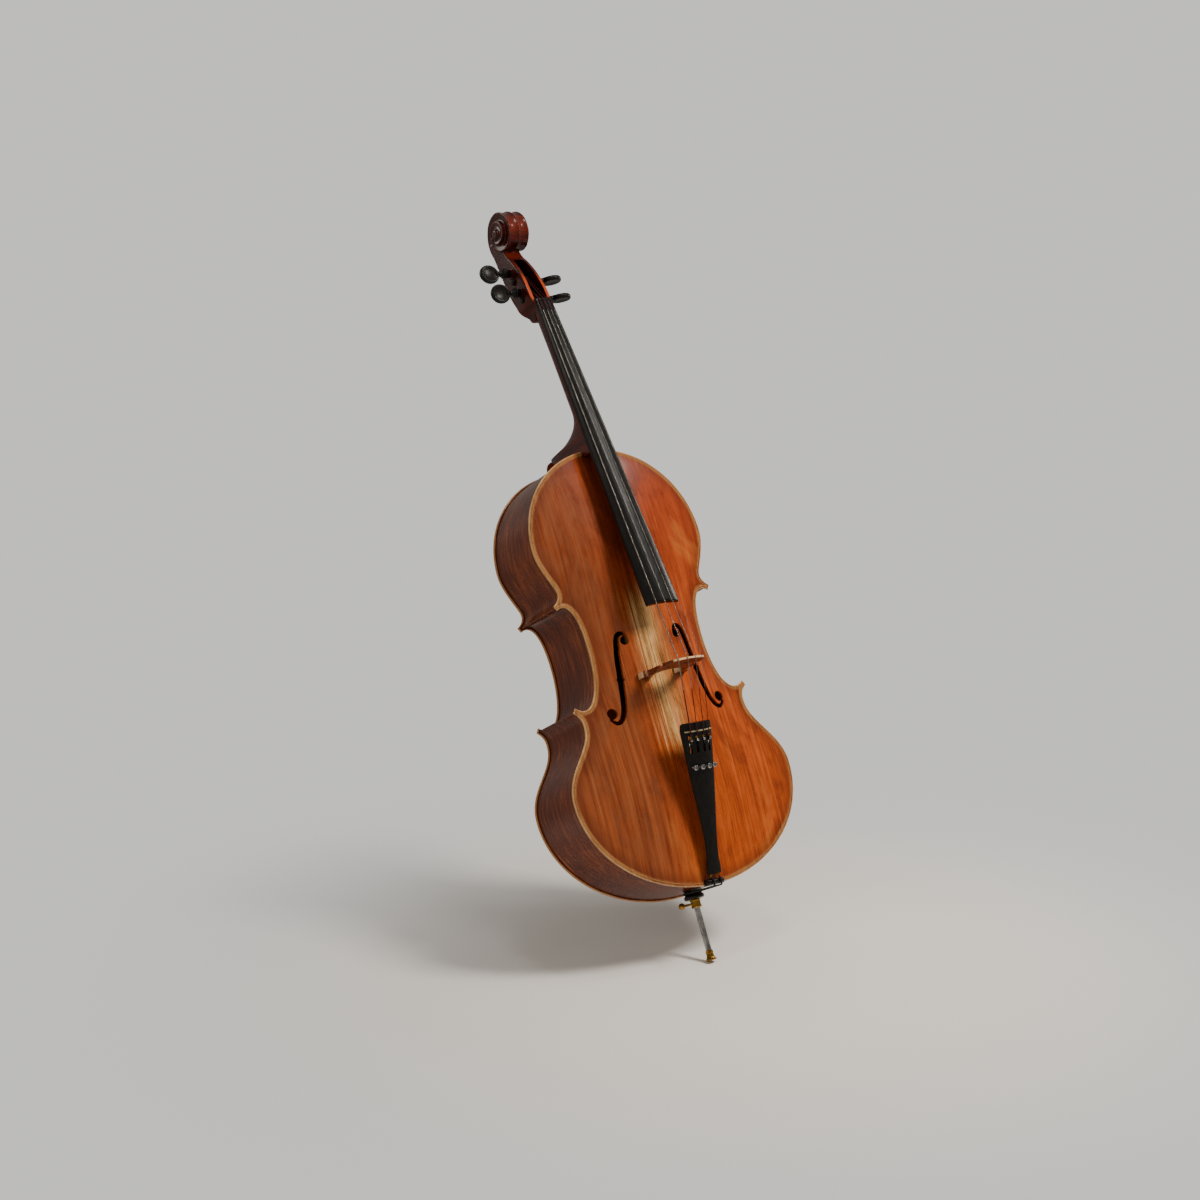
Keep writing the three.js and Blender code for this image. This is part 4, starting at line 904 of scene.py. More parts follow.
def combined(base, joined=(), cuts=(), bevel=0.0, voxel=0.0, smooth=0):
    """One shape from several: others joined to it or cut from it, then its edges softened."""
    main = object_from(base)
    tools = []
    for operation, shapes in (("UNION", joined), ("DIFFERENCE", cuts)):
        for shape in shapes:
            tools.append(object_from(shape))
            step = main.modifiers.new("solid", "BOOLEAN")
            step.operation, step.solver, step.object = operation, "MANIFOLD", tools[-1]
    if bevel:
        step = main.modifiers.new("bevel", "BEVEL")
        step.width, step.segments, step.angle_limit = bevel * MM, 2, math.radians(38)
    if voxel:
        step = main.modifiers.new("remesh", "REMESH")
        step.mode, step.voxel_size = "VOXEL", voxel * MM
    if smooth:
        step = main.modifiers.new("smooth", "SMOOTH")
        step.factor, step.iterations = 0.5, smooth
    result = bpy.data.meshes.new_from_object(main.evaluated_get(bpy.context.evaluated_depsgraph_get()))
    points = np.array([v.co for v in result.vertices]) / MM
    faces = [tuple(f.vertices) for f in result.polygons]
    bpy.data.meshes.remove(result)
    for made in (main, *tools):
        bpy.data.meshes.remove(made.data)
    return points, faces


# ---------------------------------------------------------------- neck, pegbox and scroll
NECK_TILT = math.radians(9.5)
NECK_LENGTH, OVERSTAND, NECK_THICK = 283.0, 20.0, 22.0
HEEL_BUTTON, HEEL_TOP, HEEL_TAPER, HEEL_INTO = 25.0, 70.0, 0.32, 12.0
BOARD_LENGTH, NUT_HALF, BOARD_HALF, BOARD_SIDE, BOARD_RADIUS = 585.0, 16.0, 32.0, 6.5, 62.0
NUT_HEIGHT = BODY_LENGTH + NECK_LENGTH * math.cos(NECK_TILT)
SCROLL_BACK, SCROLL_UP, SCROLL_RADIUS, PER_TURN = 18.5, 153.0, 48.0, 0.58
CHEEK, PEGBOX_FLOOR = 6.6, 9.0
# The pegbox: its front rim's place, its back's place and its half width.
PEGBOX = [
    ((0, -12), (25, -20), 15.6),
    ((0, 0), (35, -9), 16.8),
    ((0, 14), (45, 6), 20.5),
    ((0.5, 30), (51, 24), 20.5),
    ((3, 50), (57, 47), 19.6),
    ((8.5, 73), (60.5, 76), 18.4),
    ((17, 95), (62.5, 104), 17.4),
    ((25, 110), (64, 128), 16.8),
    ((29, 128), (64, 150), 16.4),
    ((26, 150), (63, 157), 16.4),
]


def glue_face(z):
    """Where the neck's flat front lies, at a height over the body's lower edge."""
    return -HALF_DEPTH - EDGE - OVERSTAND + (z - BODY_LENGTH) * math.tan(NECK_TILT)


NECK_AT = (0, glue_face(NUT_HEIGHT), NUT_HEIGHT + BASE)
NECK = Matrix.Translation(NECK_AT) @ Matrix.Rotation(-NECK_TILT, 4, "X")


def board_half(down):
    return NUT_HALF + (BOARD_HALF - NUT_HALF) * down / BOARD_LENGTH


def neck_section(z, back, fullness, taper):
    """A level section of the neck: flat in front, round behind."""
    half = board_half((NUT_HEIGHT - z) / math.cos(NECK_TILT))
    front = glue_face(z)
    t = np.linspace(0, np.pi, 40)
    behind = np.clip(np.sin(t), 0, 1) ** fullness
    x = half * np.sign(np.cos(t)) * np.abs(np.cos(t)) ** fullness * (1 - taper * behind)
    return np.column_stack([x, front + (back - front) * behind, np.full(len(t), z)])


def neck_shaft():
    rings = []
    in_heel = [-HEEL_INTO, *np.arange(-6, 25, 4), *np.arange(25, HEEL_TOP, 2.5)]
    for up in [*in_heel, *np.arange(HEEL_TOP, 262, 10)]:
        z = BODY_LENGTH + up
        low = np.clip((HEEL_TOP - up) / (HEEL_TOP - HEEL_BUTTON), 0, 1)
        shaft_back = glue_face(z) + NECK_THICK + 2 * np.clip((up - 190) / 70, 0, 1)
        share = math.sqrt(1 - low * low)
        back = (HALF_DEPTH - 0.3) * (1 - share) + shaft_back * share
        rings.append(neck_section(z, back, 0.95 - 0.33 * low, HEEL_TAPER * low))
    top = NUT_HEIGHT - 4
    rings.append(neck_section(top, glue_face(top) + 25, 0.9, 0))
    return [ring + np.array([0, 0, BASE]) for ring in rings]


def pegbox_sections():
    """The pegbox's sections, closely spaced."""
    flat = np.array([[*front, *back, half] for front, back, half in PEGBOX], float)
    rows = spline(flat, (len(flat) - 1) * 10 + 1)
    return [(row[:2], row[2:4], row[4]) for row in rows]


def fluted(half, count=33):
    """The back's cross-section: two hollows beside a ridge, as places across and depths."""
    share = np.linspace(-1, 1, count)
    hollow = np.sin(np.pi * np.abs(share)) ** 0.8
    edge = np.clip((np.abs(share) - 0.93) / 0.07, 0, 1)
    return share * half, hollow * 0.16 * half + edge * 1.0


def pegbox():
    """The pegbox as a solid block with rounded front edges and, farther up, a fluted back."""
    rings = []
    round_off = 1.6
    for i, (front, back, half) in enumerate(pegbox_sections()):
        deep = back - front
        length = np.linalg.norm(deep)
        flute = np.clip((i - 14) / 14, 0, 1)
        across, hollow = fluted(half)
        behind = [(x, *(back - deep / length * h * flute)) for x, h in zip(across[::-1], hollow[::-1])]
        rim = [
            (-half, *(front + deep / length * round_off)),
            (-half + round_off * 0.5, *(front + deep / length * 0.4)),
            (-half + round_off, *front),
            (half - round_off, *front),
            (half - round_off * 0.5, *(front + deep / length * 0.4)),
            (half, *(front + deep / length * round_off)),
        ]
        rings.append(np.array([*rim, *behind]))
    return loft(rings)


def trough():
    """What is cut out of the pegbox between its cheeks."""
    rings = []
    for i, (front, back, half) in enumerate(PEGBOX[2:8]):
        front, back = np.array(front, float), np.array(back, float)
        if i in (0, 5):
            front[1] -= 6
            back[1] -= 6
        deep = back - front
        out, floor = front - deep * 0.4, front + deep * (1 - PEGBOX_FLOOR / np.linalg.norm(deep))
        width = half - CHEEK
        rings.append([(-width, *out), (width, *out), (width, *floor), (-width, *floor)])
    return loft(np.array(rings))


def volute():
    """The scroll: a fluted band that winds inwards and widens towards its eye."""
    rings = []
    for turn in np.linspace(-0.1, 2.02, 150):
        angle = 2 * np.pi * turn
        radius = SCROLL_RADIUS * PER_TURN ** turn
        inner = SCROLL_RADIUS * PER_TURN ** (turn + 1) * 0.55
        half = 16.4 + 6.4 * np.clip(turn, 0, 2) ** 1.05
        across, hollow = fluted(half)
        flute = 1 - np.clip((turn - 0.9) / 0.5, 0, 1)
        out = radius - hollow * 0.8 * flute * min(1, radius / 30)
        # the sides are slightly hollowed between the edge and the next turn
        waist, between_turns = half - 1.1, (radius + inner) / 2
        ring = list(zip(across, out))
        ring += [(half, radius - 2.4), (waist, between_turns), (half, inner)]
        ring += [(-half, inner), (-waist, between_turns), (-half, radius - 2.4)]
        cos, sin = math.cos(angle), math.sin(angle)
        rings.append([(x, SCROLL_BACK + r * cos, SCROLL_UP + r * sin) for x, r in ring])
    return loft(np.array(rings))


def eye():
    """The scroll's eye, a round pin that stands out on both sides."""
    end = [[0, -30.5], [7.4, -30.5], [8.8, -28.5]]
    profile = softened([*end, *([r, -x] for r, x in end[::-1])], 1.5)
    return turned(profile, 40, "x", (0, SCROLL_BACK, SCROLL_UP))


# ---------------------------------------------------------------- strings' layout
# Name, radius, place on the peg, at the nut, the bridge and the tailpiece; the peg head's side and
# the peg's place up the pegbox and behind its front; the angle its head was left at.
STRINGS = [
    ("c", 0.9, -7, -11, -24, -18.5, -1, 38, 26, 104),
    ("g", 0.65, -4, -3.7, -8, -6.5, -1, 84, 36, 96),
    ("d", 0.5, 4, 3.7, 8, 6.5, 1, 63, 31, -12),
    ("a", 0.4, 7, 11, 24, 18.5, 1, 22, 24, -14),
]
PEG_WIDE, PEG_NARROW, PEG_WALL, PEG_REACH = 7.2, 5.9, 24.0, 23.0
COLLAR_AT, DISC_AT, DISC, DISC_THICK = 27.0, 58.0, 18.5, 9.0


def peg_hole():
    wide, narrow = PEG_WIDE + 0.15, PEG_NARROW + 0.15
    profile = [[0, -60], [wide, -60], [wide, -PEG_WALL], [narrow, PEG_REACH], [narrow, 60], [0, 60]]
    return turned(profile, 40, "x")


def at_peg(head, up, back, turn=0):
    """Takes a peg's own frame, with its head towards -X, into the neck's frame."""
    place = Matrix.Translation((0, back, up))
    facing_head = Matrix.Rotation(math.pi if head > 0 else 0, 4, "Z")
    return place @ facing_head @ Matrix.Rotation(math.radians(turn), 4, "X")


holes = [moved(peg_hole(), at_peg(side, up, back)) for *_, side, up, back, _ in STRINGS]
shaft = loft(neck_shaft())
CHIN, CHIN_HALF, CHIN_AT = 11.5, 15.6, (0, 21.5, -13.5)  # the round end of the pegbox behind the nut
chin_profile = [[0, -CHIN_HALF], [CHIN, -CHIN_HALF], [CHIN, CHIN_HALF], [0, CHIN_HALF]]
chin = turned(softened(chin_profile, 2.5), 48, "x", CHIN_AT)
head = combined(pegbox(), joined=[chin, volute(), eye()], voxel=0.9, smooth=3)
head = combined(head, cuts=[trough(), *holes])
head = combined(moved(head, NECK), joined=[shaft])
fine("neck", head, "dark_varnish")

# ---------------------------------------------------------------- fingerboard and nut


def crown(x, half, side):
    """The rounded top of the fingerboard, as a depth in front of the glue face."""
    return -side - np.sqrt(BOARD_RADIUS ** 2 - x * x) + math.sqrt(BOARD_RADIUS ** 2 - half * half)


def fingerboard():
    rings = []
    free = NECK_LENGTH + 12
    low_end = [BOARD_LENGTH - 2, BOARD_LENGTH - 0.7, BOARD_LENGTH]
    for down in [0.3, 0.8, 2, *np.arange(20, BOARD_LENGTH - 4, 20), *low_end]:
        half = board_half(down)
        shrink = 0.8 if down > BOARD_LENGTH - 0.1 else 0.25 if down > BOARD_LENGTH - 1 else 0
        hollow = 5 * np.clip((down - free) / 30, 0, 1)
        x = np.linspace(-half + 0.7, half - 0.7, 25)
        top = np.column_stack([x, crown(x, half, BOARD_SIDE) + shrink])
        sides = [(half - shrink, -BOARD_SIDE + 0.9), (half - shrink, -1.0), (half - 0.8, -0.3)]
        xu = np.linspace(half - 2.4, -half + 2.4, 15)
        under = np.column_stack([xu, -0.3 - hollow * (1 - (xu / (half - 2.4)) ** 2)])
        other = [(-x, y) for x, y in sides[::-1]]
        ring = np.vstack([top, sides, under, other])
        rings.append(np.column_stack([ring, np.full(len(ring), -down)]))
    return loft(rings)


fine("fingerboard", moved(fingerboard(), NECK), "ebony")

NUT_SIDE = 9.3 + crown(0, NUT_HALF, 0)
NUT_LENGTH = 6.2


def nut():
    x = np.linspace(-NUT_HALF, NUT_HALF, 161)
    top = crown(x, NUT_HALF, NUT_SIDE)
    for _, radius, _, place, *_ in STRINGS:
        top = top + 0.75 * np.exp(-((x - place) / (radius * 1.1)) ** 4)
    rings = []
    for up, drop in ((0.3, 0.0), (3.6, 0.0), (5.2, 0.35), (NUT_LENGTH, 1.3)):
        ring = [*zip(x, top + drop), (NUT_HALF, -0.3), (-NUT_HALF, -0.3)]
        rings.append([(a, b, up) for a, b in ring])
    return loft(np.array(rings))


fine("nut", moved(nut(), NECK), "ebony")

# ---------------------------------------------------------------- pegs and windings


def disc():
    """A peg's head: an oval disc with dished faces and a rounded rim."""
    rings = []
    half = DISC_THICK / 2
    profile = [(0.01, half * 0.55), (0.3, half * 0.58), (0.55, half * 0.7), (0.74, half * 0.9), (0.84, half)]
    profile += [(0.91, half * 0.95), (0.965, half * 0.7), (1.0, half * 0.28)]
    profile += [(share, -y) for share, y in profile[::-1]]
    angles = np.linspace(0, 2 * np.pi, 64, endpoint=False)
    for share, y in profile:
        x = -DISC_AT + DISC * share * np.cos(angles)
        z = DISC * 0.93 * share * np.sin(angles)
        rings.append(np.column_stack([x, z, np.full(64, y)]))
    return loft(rings)


def peg_shape():
    shank = [
        [0, PEG_REACH + 0.8], [3.6, PEG_REACH + 0.8],
        [PEG_NARROW - 0.2, PEG_REACH], [PEG_NARROW, PEG_REACH - 0.6],
    ]
    shank += [[PEG_WIDE, -PEG_WALL], [PEG_WIDE, -COLLAR_AT + 1.2]]
    rings = [
        [9.1, -COLLAR_AT + 0.4], [9.6, -COLLAR_AT - 1.0],
        [9.1, -COLLAR_AT - 2.4], [7.7, -COLLAR_AT - 3.0],
    ]
    rings += [[8.3, -COLLAR_AT - 3.8], [8.3, -COLLAR_AT - 5.0], [6.6, -COLLAR_AT - 6.2]]
    waist = [
        [5.3, -COLLAR_AT - 9], [4.8, -COLLAR_AT - 12], [5.4, -COLLAR_AT - 15],
        [6.4, -DISC_AT + 12], [0, -DISC_AT + 9],
    ]
    return turned(softened([*shank, *rings, *waist], 0.7, 3), 48, "x")


peg = combined(peg_shape(), joined=[disc()])
for name, *_, head_side, up, back, turn in STRINGS:
    placed = moved(peg, NECK @ at_peg(head_side, up, back, turn))
    fine(f"peg_{name}", placed, "ebony", body=f"peg_{name}")


def shank_radius(x):
    return PEG_WIDE + (PEG_NARROW - PEG_WIDE) * (x + PEG_WALL) / (PEG_REACH + PEG_WALL)


def winding_radii(radius, wind, head_side):
    """The winding's inner radius, and the radius at which the string leaves it."""
    inner = shank_radius(-head_side * wind - 4) + 0.3
    return inner, inner + 2.2 * radius + 0.5 + radius + 0.3


def helix(radius, start, stop, pitch, phase):
    turns = abs(stop - start) / pitch
    t = np.linspace(0, 1, max(24, round(turns * 40)))
    angle = 2 * np.pi * turns * t + phase
    return np.column_stack([start + (stop - start) * t, radius * np.cos(angle), radius * np.sin(angle)])


for name, radius, wind, _, _, _, head_side, up, back, _ in STRINGS:
    inner, leaves = winding_radii(radius, wind, head_side)
    pitch = 2 * radius + 0.12
    low, high = wind - 3.9 + radius, wind + 3.9 - radius
    layers = [helix(inner + radius, low, high, pitch, 0.4)]
    layers.append(helix(leaves - radius * 0.3, low + 0.3, high, pitch * 1.35, 1.2))
    path = np.vstack(layers[0:1] + [layers[1][::-1]]) + np.array([0, back, up])
    coil = moved(tube(path, radius * 0.98, 10), NECK)
    fine(f"string_winding_{name}", coil, "string_silk", body=f"peg_{name}")

# ---------------------------------------------------------------- tailpiece
TAIL_TILT = math.radians(15.9)
TAIL_LENGTH, TAIL_ABOVE, TAIL_RADIUS, TAIL_BACK = 248.0, 14.0, 55.0, 4.0
TAIL_END = TAIL_ABOVE - TAIL_LENGTH
TAIL = Matrix.Translation((0, -141, 240 + BASE)) @ Matrix.Rotation(TAIL_TILT, 4, "X")
TAIL_SIDES = [
    (14, 27), (12, 30), (2, 31), (-70, 24.5), (-140, 16),
    (-180, 12), (-208, 11.5), (-226, 14), (TAIL_END, 13.5),
]
PIVOT_Y, PIVOT_Z, AXLE, SCREW_Z, SHANK, KNOB, LEVER = 9.8, -24.0, 1.2, -58.0, 1.6, 4.4, 4.0
FRET_HEIGHT, FRET_HALF = 2.0, 26.0
GUT, GUT_HALF, GUT_DEEP = 1.4, 7.0, 3.4


def tail_face(x):
    return TAIL_RADIUS - np.sqrt(TAIL_RADIUS ** 2 - x * x)


def tailpiece():
    z = np.array([s[0] for s in TAIL_SIDES[::-1]], float)
    half = np.array([s[1] for s in TAIL_SIDES[::-1]], float)
    rings = []
    levels = [*np.linspace(TAIL_ABOVE, 2, 7), *np.arange(-4, TAIL_END + 4, -6)]
    levels += [TAIL_END + 1.2, TAIL_END + 0.3, TAIL_END]
    for level in levels:
        width = float(np.interp(level, z, half))
        shrink = 0.5 if level in (TAIL_ABOVE, TAIL_END) else 0
        x = np.linspace(-width + 1.1, width - 1.1, 21)
        face = np.column_stack([x, tail_face(x) + shrink])
        lip = tail_face(width) + 1.0
        under = lip + TAIL_BACK - 1
        sides = [
            (width - 0.3, lip - 0.6), (width, lip + 0.2),
            (width - 0.6, under - 0.4), (width - 2, under),
        ]
        other = [(-a, b) for a, b in sides[::-1]]
        ring = np.vstack([face, sides, other])
        rings.append(np.column_stack([ring, np.full(len(ring), level)]))
    cuts = [box_shape((-21.5, 7.2, -68), (21.5, 30, -5))]
    for _, _, _, _, _, tail, *_ in STRINGS:
        cuts.append(box_shape((tail - LEVER / 2 - 0.3, -5, -35), (tail + LEVER / 2 + 0.3, 8.2, -7)))
        bore = [[0, -10], [SHANK + 0.3, -10], [SHANK + 0.3, 12], [0, 12]]
        cuts.append(turned(bore, 24, "y", (tail, 0, SCREW_Z)))
    for side in (-1, 1):
        hole = [[0, TAIL_END - 5], [GUT + 0.5, TAIL_END - 5], [GUT + 0.5, TAIL_END + 20], [0, TAIL_END + 20]]
        cuts.append(turned(hole, 24, "z", (side * GUT_HALF, GUT_DEEP, 0)))
    return combined(loft(rings), cuts=cuts)


fine("tailpiece", moved(tailpiece(), TAIL), "ebony")


def fret():
    low, high = TAIL_RADIUS + 0.15, TAIL_RADIUS + 0.3 + FRET_HEIGHT
    section = [(low, 1.2), (high - 0.9, 1.1), (high - 0.3, 0.8), (high, 0)]
    section += [(r, -z) for r, z in section[2::-1]]
    reach = math.asin(FRET_HALF / TAIL_RADIUS)
    rings = []
    for angle in np.linspace(-reach, reach, 41):
        rings.append([(r * math.sin(angle), TAIL_RADIUS - r * math.cos(angle), z) for r, z in section])
    return loft(np.array(rings))


fine("tailpiece_fret", moved(fret(), TAIL), "pale_fret")
axle_profile = softened([[0, -24], [AXLE, -24], [AXLE, 24], [0, 24]], 0.4)
axle = turned(axle_profile, 24, "x", (0, PIVOT_Y, PIVOT_Z))
fine("tuner_axle", moved(axle, TAIL), "steel")


def tuner_lever(x):
    """A short arm that holds the string and a long arm behind the screw, bent from one strip."""
    profile = [
        (-2.6, -12), (-2.6, -15.5), (4, -18.5), (PIVOT_Y - 3.4, PIVOT_Z), (PIVOT_Y - 1, PIVOT_Z - 6),
        (PIVOT_Y, SCREW_Z - 4), (PIVOT_Y + 2.4, SCREW_Z - 4), (PIVOT_Y + 3, PIVOT_Z - 3),
        (PIVOT_Y + 3, PIVOT_Z + 2), (PIVOT_Y, PIVOT_Z + 4.5), (3, -11.5),
    ]
    profile = np.vstack([profile, profile[:2]])
    smooth = softened(profile, 1.5, 4)[1:-1]
    return combined(prism(smooth, x - LEVER / 2, x + LEVER / 2, "x"), bevel=0.35)


def knurled_knob():
    """A screw's head: a knurled rim under a domed top with a slot."""
    rings = []
    count = 96
    angles = np.linspace(0, 2 * np.pi, count, endpoint=False)
    notches = 0.22 * (0.5 + 0.5 * np.cos(angles * 24))
    levels = [
        (0.01, -0.3, 0), (3.0, -0.3, 0), (3.3, -0.9, 0), (4.0, -1.3, 0),
        (KNOB, -1.8, 1), (KNOB, -4.6, 1), (4.1, -5.2, 0),
    ]
    levels += [(3.4, -5.8, 0), (2.2, -6.15, 0), (0.01, -6.25, 0)]
    for radius, y, knurl in levels:
        r = radius - notches * knurl
        rings.append(np.column_stack([r * np.cos(angles), np.full(count, y), r * np.sin(angles)]))
    return combined(loft(rings), cuts=[box_shape((-0.45, -7, -6), (0.45, -5.5, 6))])


THREAD_STEP = 0.4


def threads(radius, depth, start, stop):
    """A screw's profile, in and out by the thread's depth at every half turn."""
    places = np.arange(start, stop, THREAD_STEP)
    return [[radius - (depth if i % 2 else 0), place] for i, place in enumerate(places)]


knob = knurled_knob()
for name, _, _, _, _, tail, *_ in STRINGS:
    under_knob = float(tail_face(tail)) - 4
    fine(f"tuner_lever_{name}", moved(tuner_lever(tail), TAIL), "steel", body=f"tuner_lever_{name}")
    thread = threads(SHANK, 0.22, under_knob, PIVOT_Y - 0.3)
    profile = [[0, under_knob], *thread, [0, PIVOT_Y - 0.3]]
    screw = turned(profile, 24, "y", (tail, 0, SCREW_Z))
    fine(f"tuner_screw_{name}", moved(screw, TAIL), "steel", body=f"tuner_screw_{name}")
    placed = TAIL @ Matrix.Translation((tail, under_knob, SCREW_Z))
    fine(f"tuner_knob_{name}", moved(knob, placed), "steel", body=f"tuner_knob_{name}")

# ---------------------------------------------------------------- bridge
STOP, BRIDGE_HEIGHT, BRIDGE_RADIUS, FEET_THICK, TOP_THICK = 355.0, 90.0, 62.0, 11.0, 3.2
# Curves of its right half, as places across and heights.


KIDNEY = [
    (34.5, 57.0), (31, 59.6), (26, 59.8), (21.5, 57), (19.4, 52),
    (20.6, 47.2), (25, 44.8), (30, 45.2), (33.5, 47.4),
]
LEG = [
    (35.2, 46.6), (37.6, 43.4), (37.6, 39), (36.0, 33),
    (35.6, 26), (36.6, 19), (39.6, 13), (45.4, 9.2),
]
ARCHWAY = [
    (24, 6.6), (27.6, 10.5), (28.6, 16), (28.4, 22),
    (26.0, 29), (20.5, 34.2), (12, 37.6), (0, 38.6),
]
HEART = [
    (0, 68.4), (4.2, 72.6), (8.6, 72.0), (10.8, 67.6), (9.0, 60.5), (4.4, 55.0), (0, 51.2),
]
EYE_ACROSS, EYE_UP, EYE_RADIUS = 14.4, 54.4, 2.4


def bridge_top(x):
    return BRIDGE_HEIGHT + np.sqrt(BRIDGE_RADIUS ** 2 - x * x) - BRIDGE_RADIUS


def bridge_outline():
    """The bridge from the front: places across, and heights over the belly's peak."""
    under_foot = np.linspace(46, 24, 12)
    belly = arch_over(under_foot, np.full(12, STOP)) - ARCH + 0.2
    top = [(x, float(bridge_top(x))) for x in np.linspace(0, 31, 16)]
    side = spline([(31.5, 80.4), (34.5, 74), (36.8, 67), (37.6, 60.5), (35.8, 57.4)], 17)
    foot = [(46.2, 7.6), *zip(under_foot, belly)]
    right = np.vstack([top, side, spline(KIDNEY, 33), spline(LEG, 29), foot, spline(ARCHWAY, 29)])
    return np.vstack([right, right[-2:0:-1] * (-1, 1)])


def bridge():
    """The bridge with its heart and two eyes, thinner towards its top."""
    whole = bridge_outline()
    heart = spline(HEART, 31)
    loops = [whole, np.vstack([heart, heart[-2:0:-1] * (-1, 1)])]
    for side in (-1, 1):
        angle = np.linspace(0, 2 * np.pi, 24, endpoint=False)
        across = side * EYE_ACROSS + EYE_RADIUS * np.cos(angle)
        loops.append(np.column_stack([across, EYE_UP + EYE_RADIUS * np.sin(angle)]))
    grid = np.array([(x, h) for x in np.arange(-46, 47, 2.5) for h in np.arange(-9, 90, 2.5)])
    keep = inside(whole, grid) & ~inside(loops[1], grid)
    for loop in loops:
        keep &= clear_of(loop, grid, 1.3)
    flat, faces = triangulated(loops, grid[keep], whole, loops[1:])
    across, height = flat.T
    thick = FEET_THICK + (TOP_THICK - FEET_THICK) * np.clip(height / BRIDGE_HEIGHT, 0, 1)
    sheets = []
    for turn in (-0.5, 0.5):
        sheet = [across, -HALF_DEPTH - ARCH - height, STOP + BASE + turn * thick]
        sheets.append(np.column_stack(sheet))
    return np.vstack(sheets), shell_faces(faces, len(flat))


fine("bridge", combined(bridge(), bevel=0.45), "bridge_maple")

# ---------------------------------------------------------------- strings
FRET_RADIUS = TAIL_RADIUS + 0.3 + FRET_HEIGHT


def through(matrix, *point):
    return np.array(matrix @ Vector(point))


def string_route(radius, wind, at_nut, at_bridge, tail, head_side, up, back):
    """The string's path from its peg over the nut, bridge and fret into its tuner."""
    lift = radius + 0.35
    nut_y, nut_z = float(crown(at_nut, NUT_HALF, NUT_SIDE)) - radius + 0.35, NUT_LENGTH - 1.5
    leaves = winding_radii(radius, wind, head_side)[1]
    to_nut = np.array([nut_y - back, nut_z - up])
    reach = np.linalg.norm(to_nut)
    turn = -math.acos(leaves / reach)
    cos, sin = math.cos(turn), math.sin(turn)
    off = to_nut / reach * leaves
    off = np.array([cos * off[0] - sin * off[1] + back, sin * off[0] + cos * off[1] + up])
    fret_depth = TAIL_RADIUS - math.sqrt((FRET_RADIUS + lift) ** 2 - tail ** 2)
    return [
        through(NECK, wind, *off),
        through(NECK, at_nut, nut_y, nut_z),
        np.array([at_bridge, -HALF_DEPTH - ARCH - float(bridge_top(at_bridge)) - lift, STOP + BASE]),
        through(TAIL, tail, fret_depth, 0),
        through(TAIL, tail, 0.4, -9.6),
    ]


def between(a, b, start, stop, count=8):
    return [a + (b - a) * t for t in np.linspace(start, stop, count)]


for name, radius, wind, at_nut, at_bridge, tail, head_side, up, back, _ in STRINGS:
    route = string_route(radius, wind, at_nut, at_bridge, tail, head_side, up, back)
    peg_end, over_nut, over_bridge, over_fret, hook = route
    silk_top = over_nut + (over_bridge - over_nut) * 0.035
    silk_low = over_bridge + (over_fret - over_bridge) * 0.42
    upper = [*between(peg_end, over_nut, 0, 0.985), *between(over_nut, silk_top, 0.1, 1)]
    main = [*between(silk_top, over_bridge, 0, 0.997, 30), *between(over_bridge, silk_low, 0.01, 1)]
    lower = [*between(silk_low, over_fret, 0, 0.985), *between(over_fret, hook, 0.06, 1)]
    fine(f"string_{name}", tube(main, radius, 12), "string_steel")
    piece(f"string_{name}_silk_top", *tube(upper, radius + 0.1, 12), "string_silk")
    piece(f"string_{name}_silk_low", *tube(lower, radius + 0.1, 12), "string_silk")
    ball_profile = [[0, -2.2], [1.6, -1.9], [2.3, -0.8], [2.3, 0.8], [1.6, 1.9], [0, 2.2]]
    ball = turned(ball_profile, 24, "x", (tail, 1.6, -9.4))
    piece(f"string_{name}_ball", *moved(ball, TAIL), "brass")

# ---------------------------------------------------------------- saddle, tail gut and endpin
SADDLE_TOP = -HALF_DEPTH - EDGE - 11.5


def saddle():
    side = [
        (-HALF_DEPTH, -1), (-HALF_DEPTH, SADDLE_UP),
        (SADDLE_TOP + 9, SADDLE_UP), (SADDLE_TOP + 1.5, SADDLE_UP - 2),
        (SADDLE_TOP, SADDLE_UP - 5), (SADDLE_TOP, 1.5), (SADDLE_TOP + 2.5, -1),
    ]
    side = np.array(side) + (0, BASE)
    rings = []
    for x in np.linspace(-SADDLE_HALF, SADDLE_HALF, 25):
        ease = 3.2 * abs(x / SADDLE_HALF) ** 6
        ring = side.copy()
        ring[2:, 0] += np.clip((SADDLE_TOP + 9 - ring[2:, 0]) / 9, 0, 1) * ease
        rings.append(np.insert(ring, 0, x, axis=1))
    return combined(loft(rings), bevel=0.5)


fine("saddle", saddle(), "ebony")


def tail_gut():
    def strand(side):
        in_tail = [through(TAIL, side * GUT_HALF, GUT_DEEP, TAIL_END + up) for up in (14, 6, -1)]
        rest = [
            (side * GUT_HALF, SADDLE_TOP - GUT - 0.2, 5 + BASE),
            (side * GUT_HALF, SADDLE_TOP - GUT, 1 + BASE),
            (side * (GUT_HALF + 0.3), SADDLE_TOP + 1, -3.4 + BASE),
            (side * (GUT_HALF + 1.5), -HALF_DEPTH, -3.2 + BASE),
            (side * 13, -18, -1.5 + BASE),
        ]
        return [*in_tail, *(np.array(p, float) for p in rest)]
    loop = 14.2 + GUT + 0.4
    turn = [np.array([-loop * math.cos(a), loop * math.sin(a), BASE - 1]) for a in np.linspace(0, math.pi, 9)]
    route = spline(np.array([*strand(-1), *turn, *strand(1)[::-1]]), 400)
    return tube(route, GUT, 16)


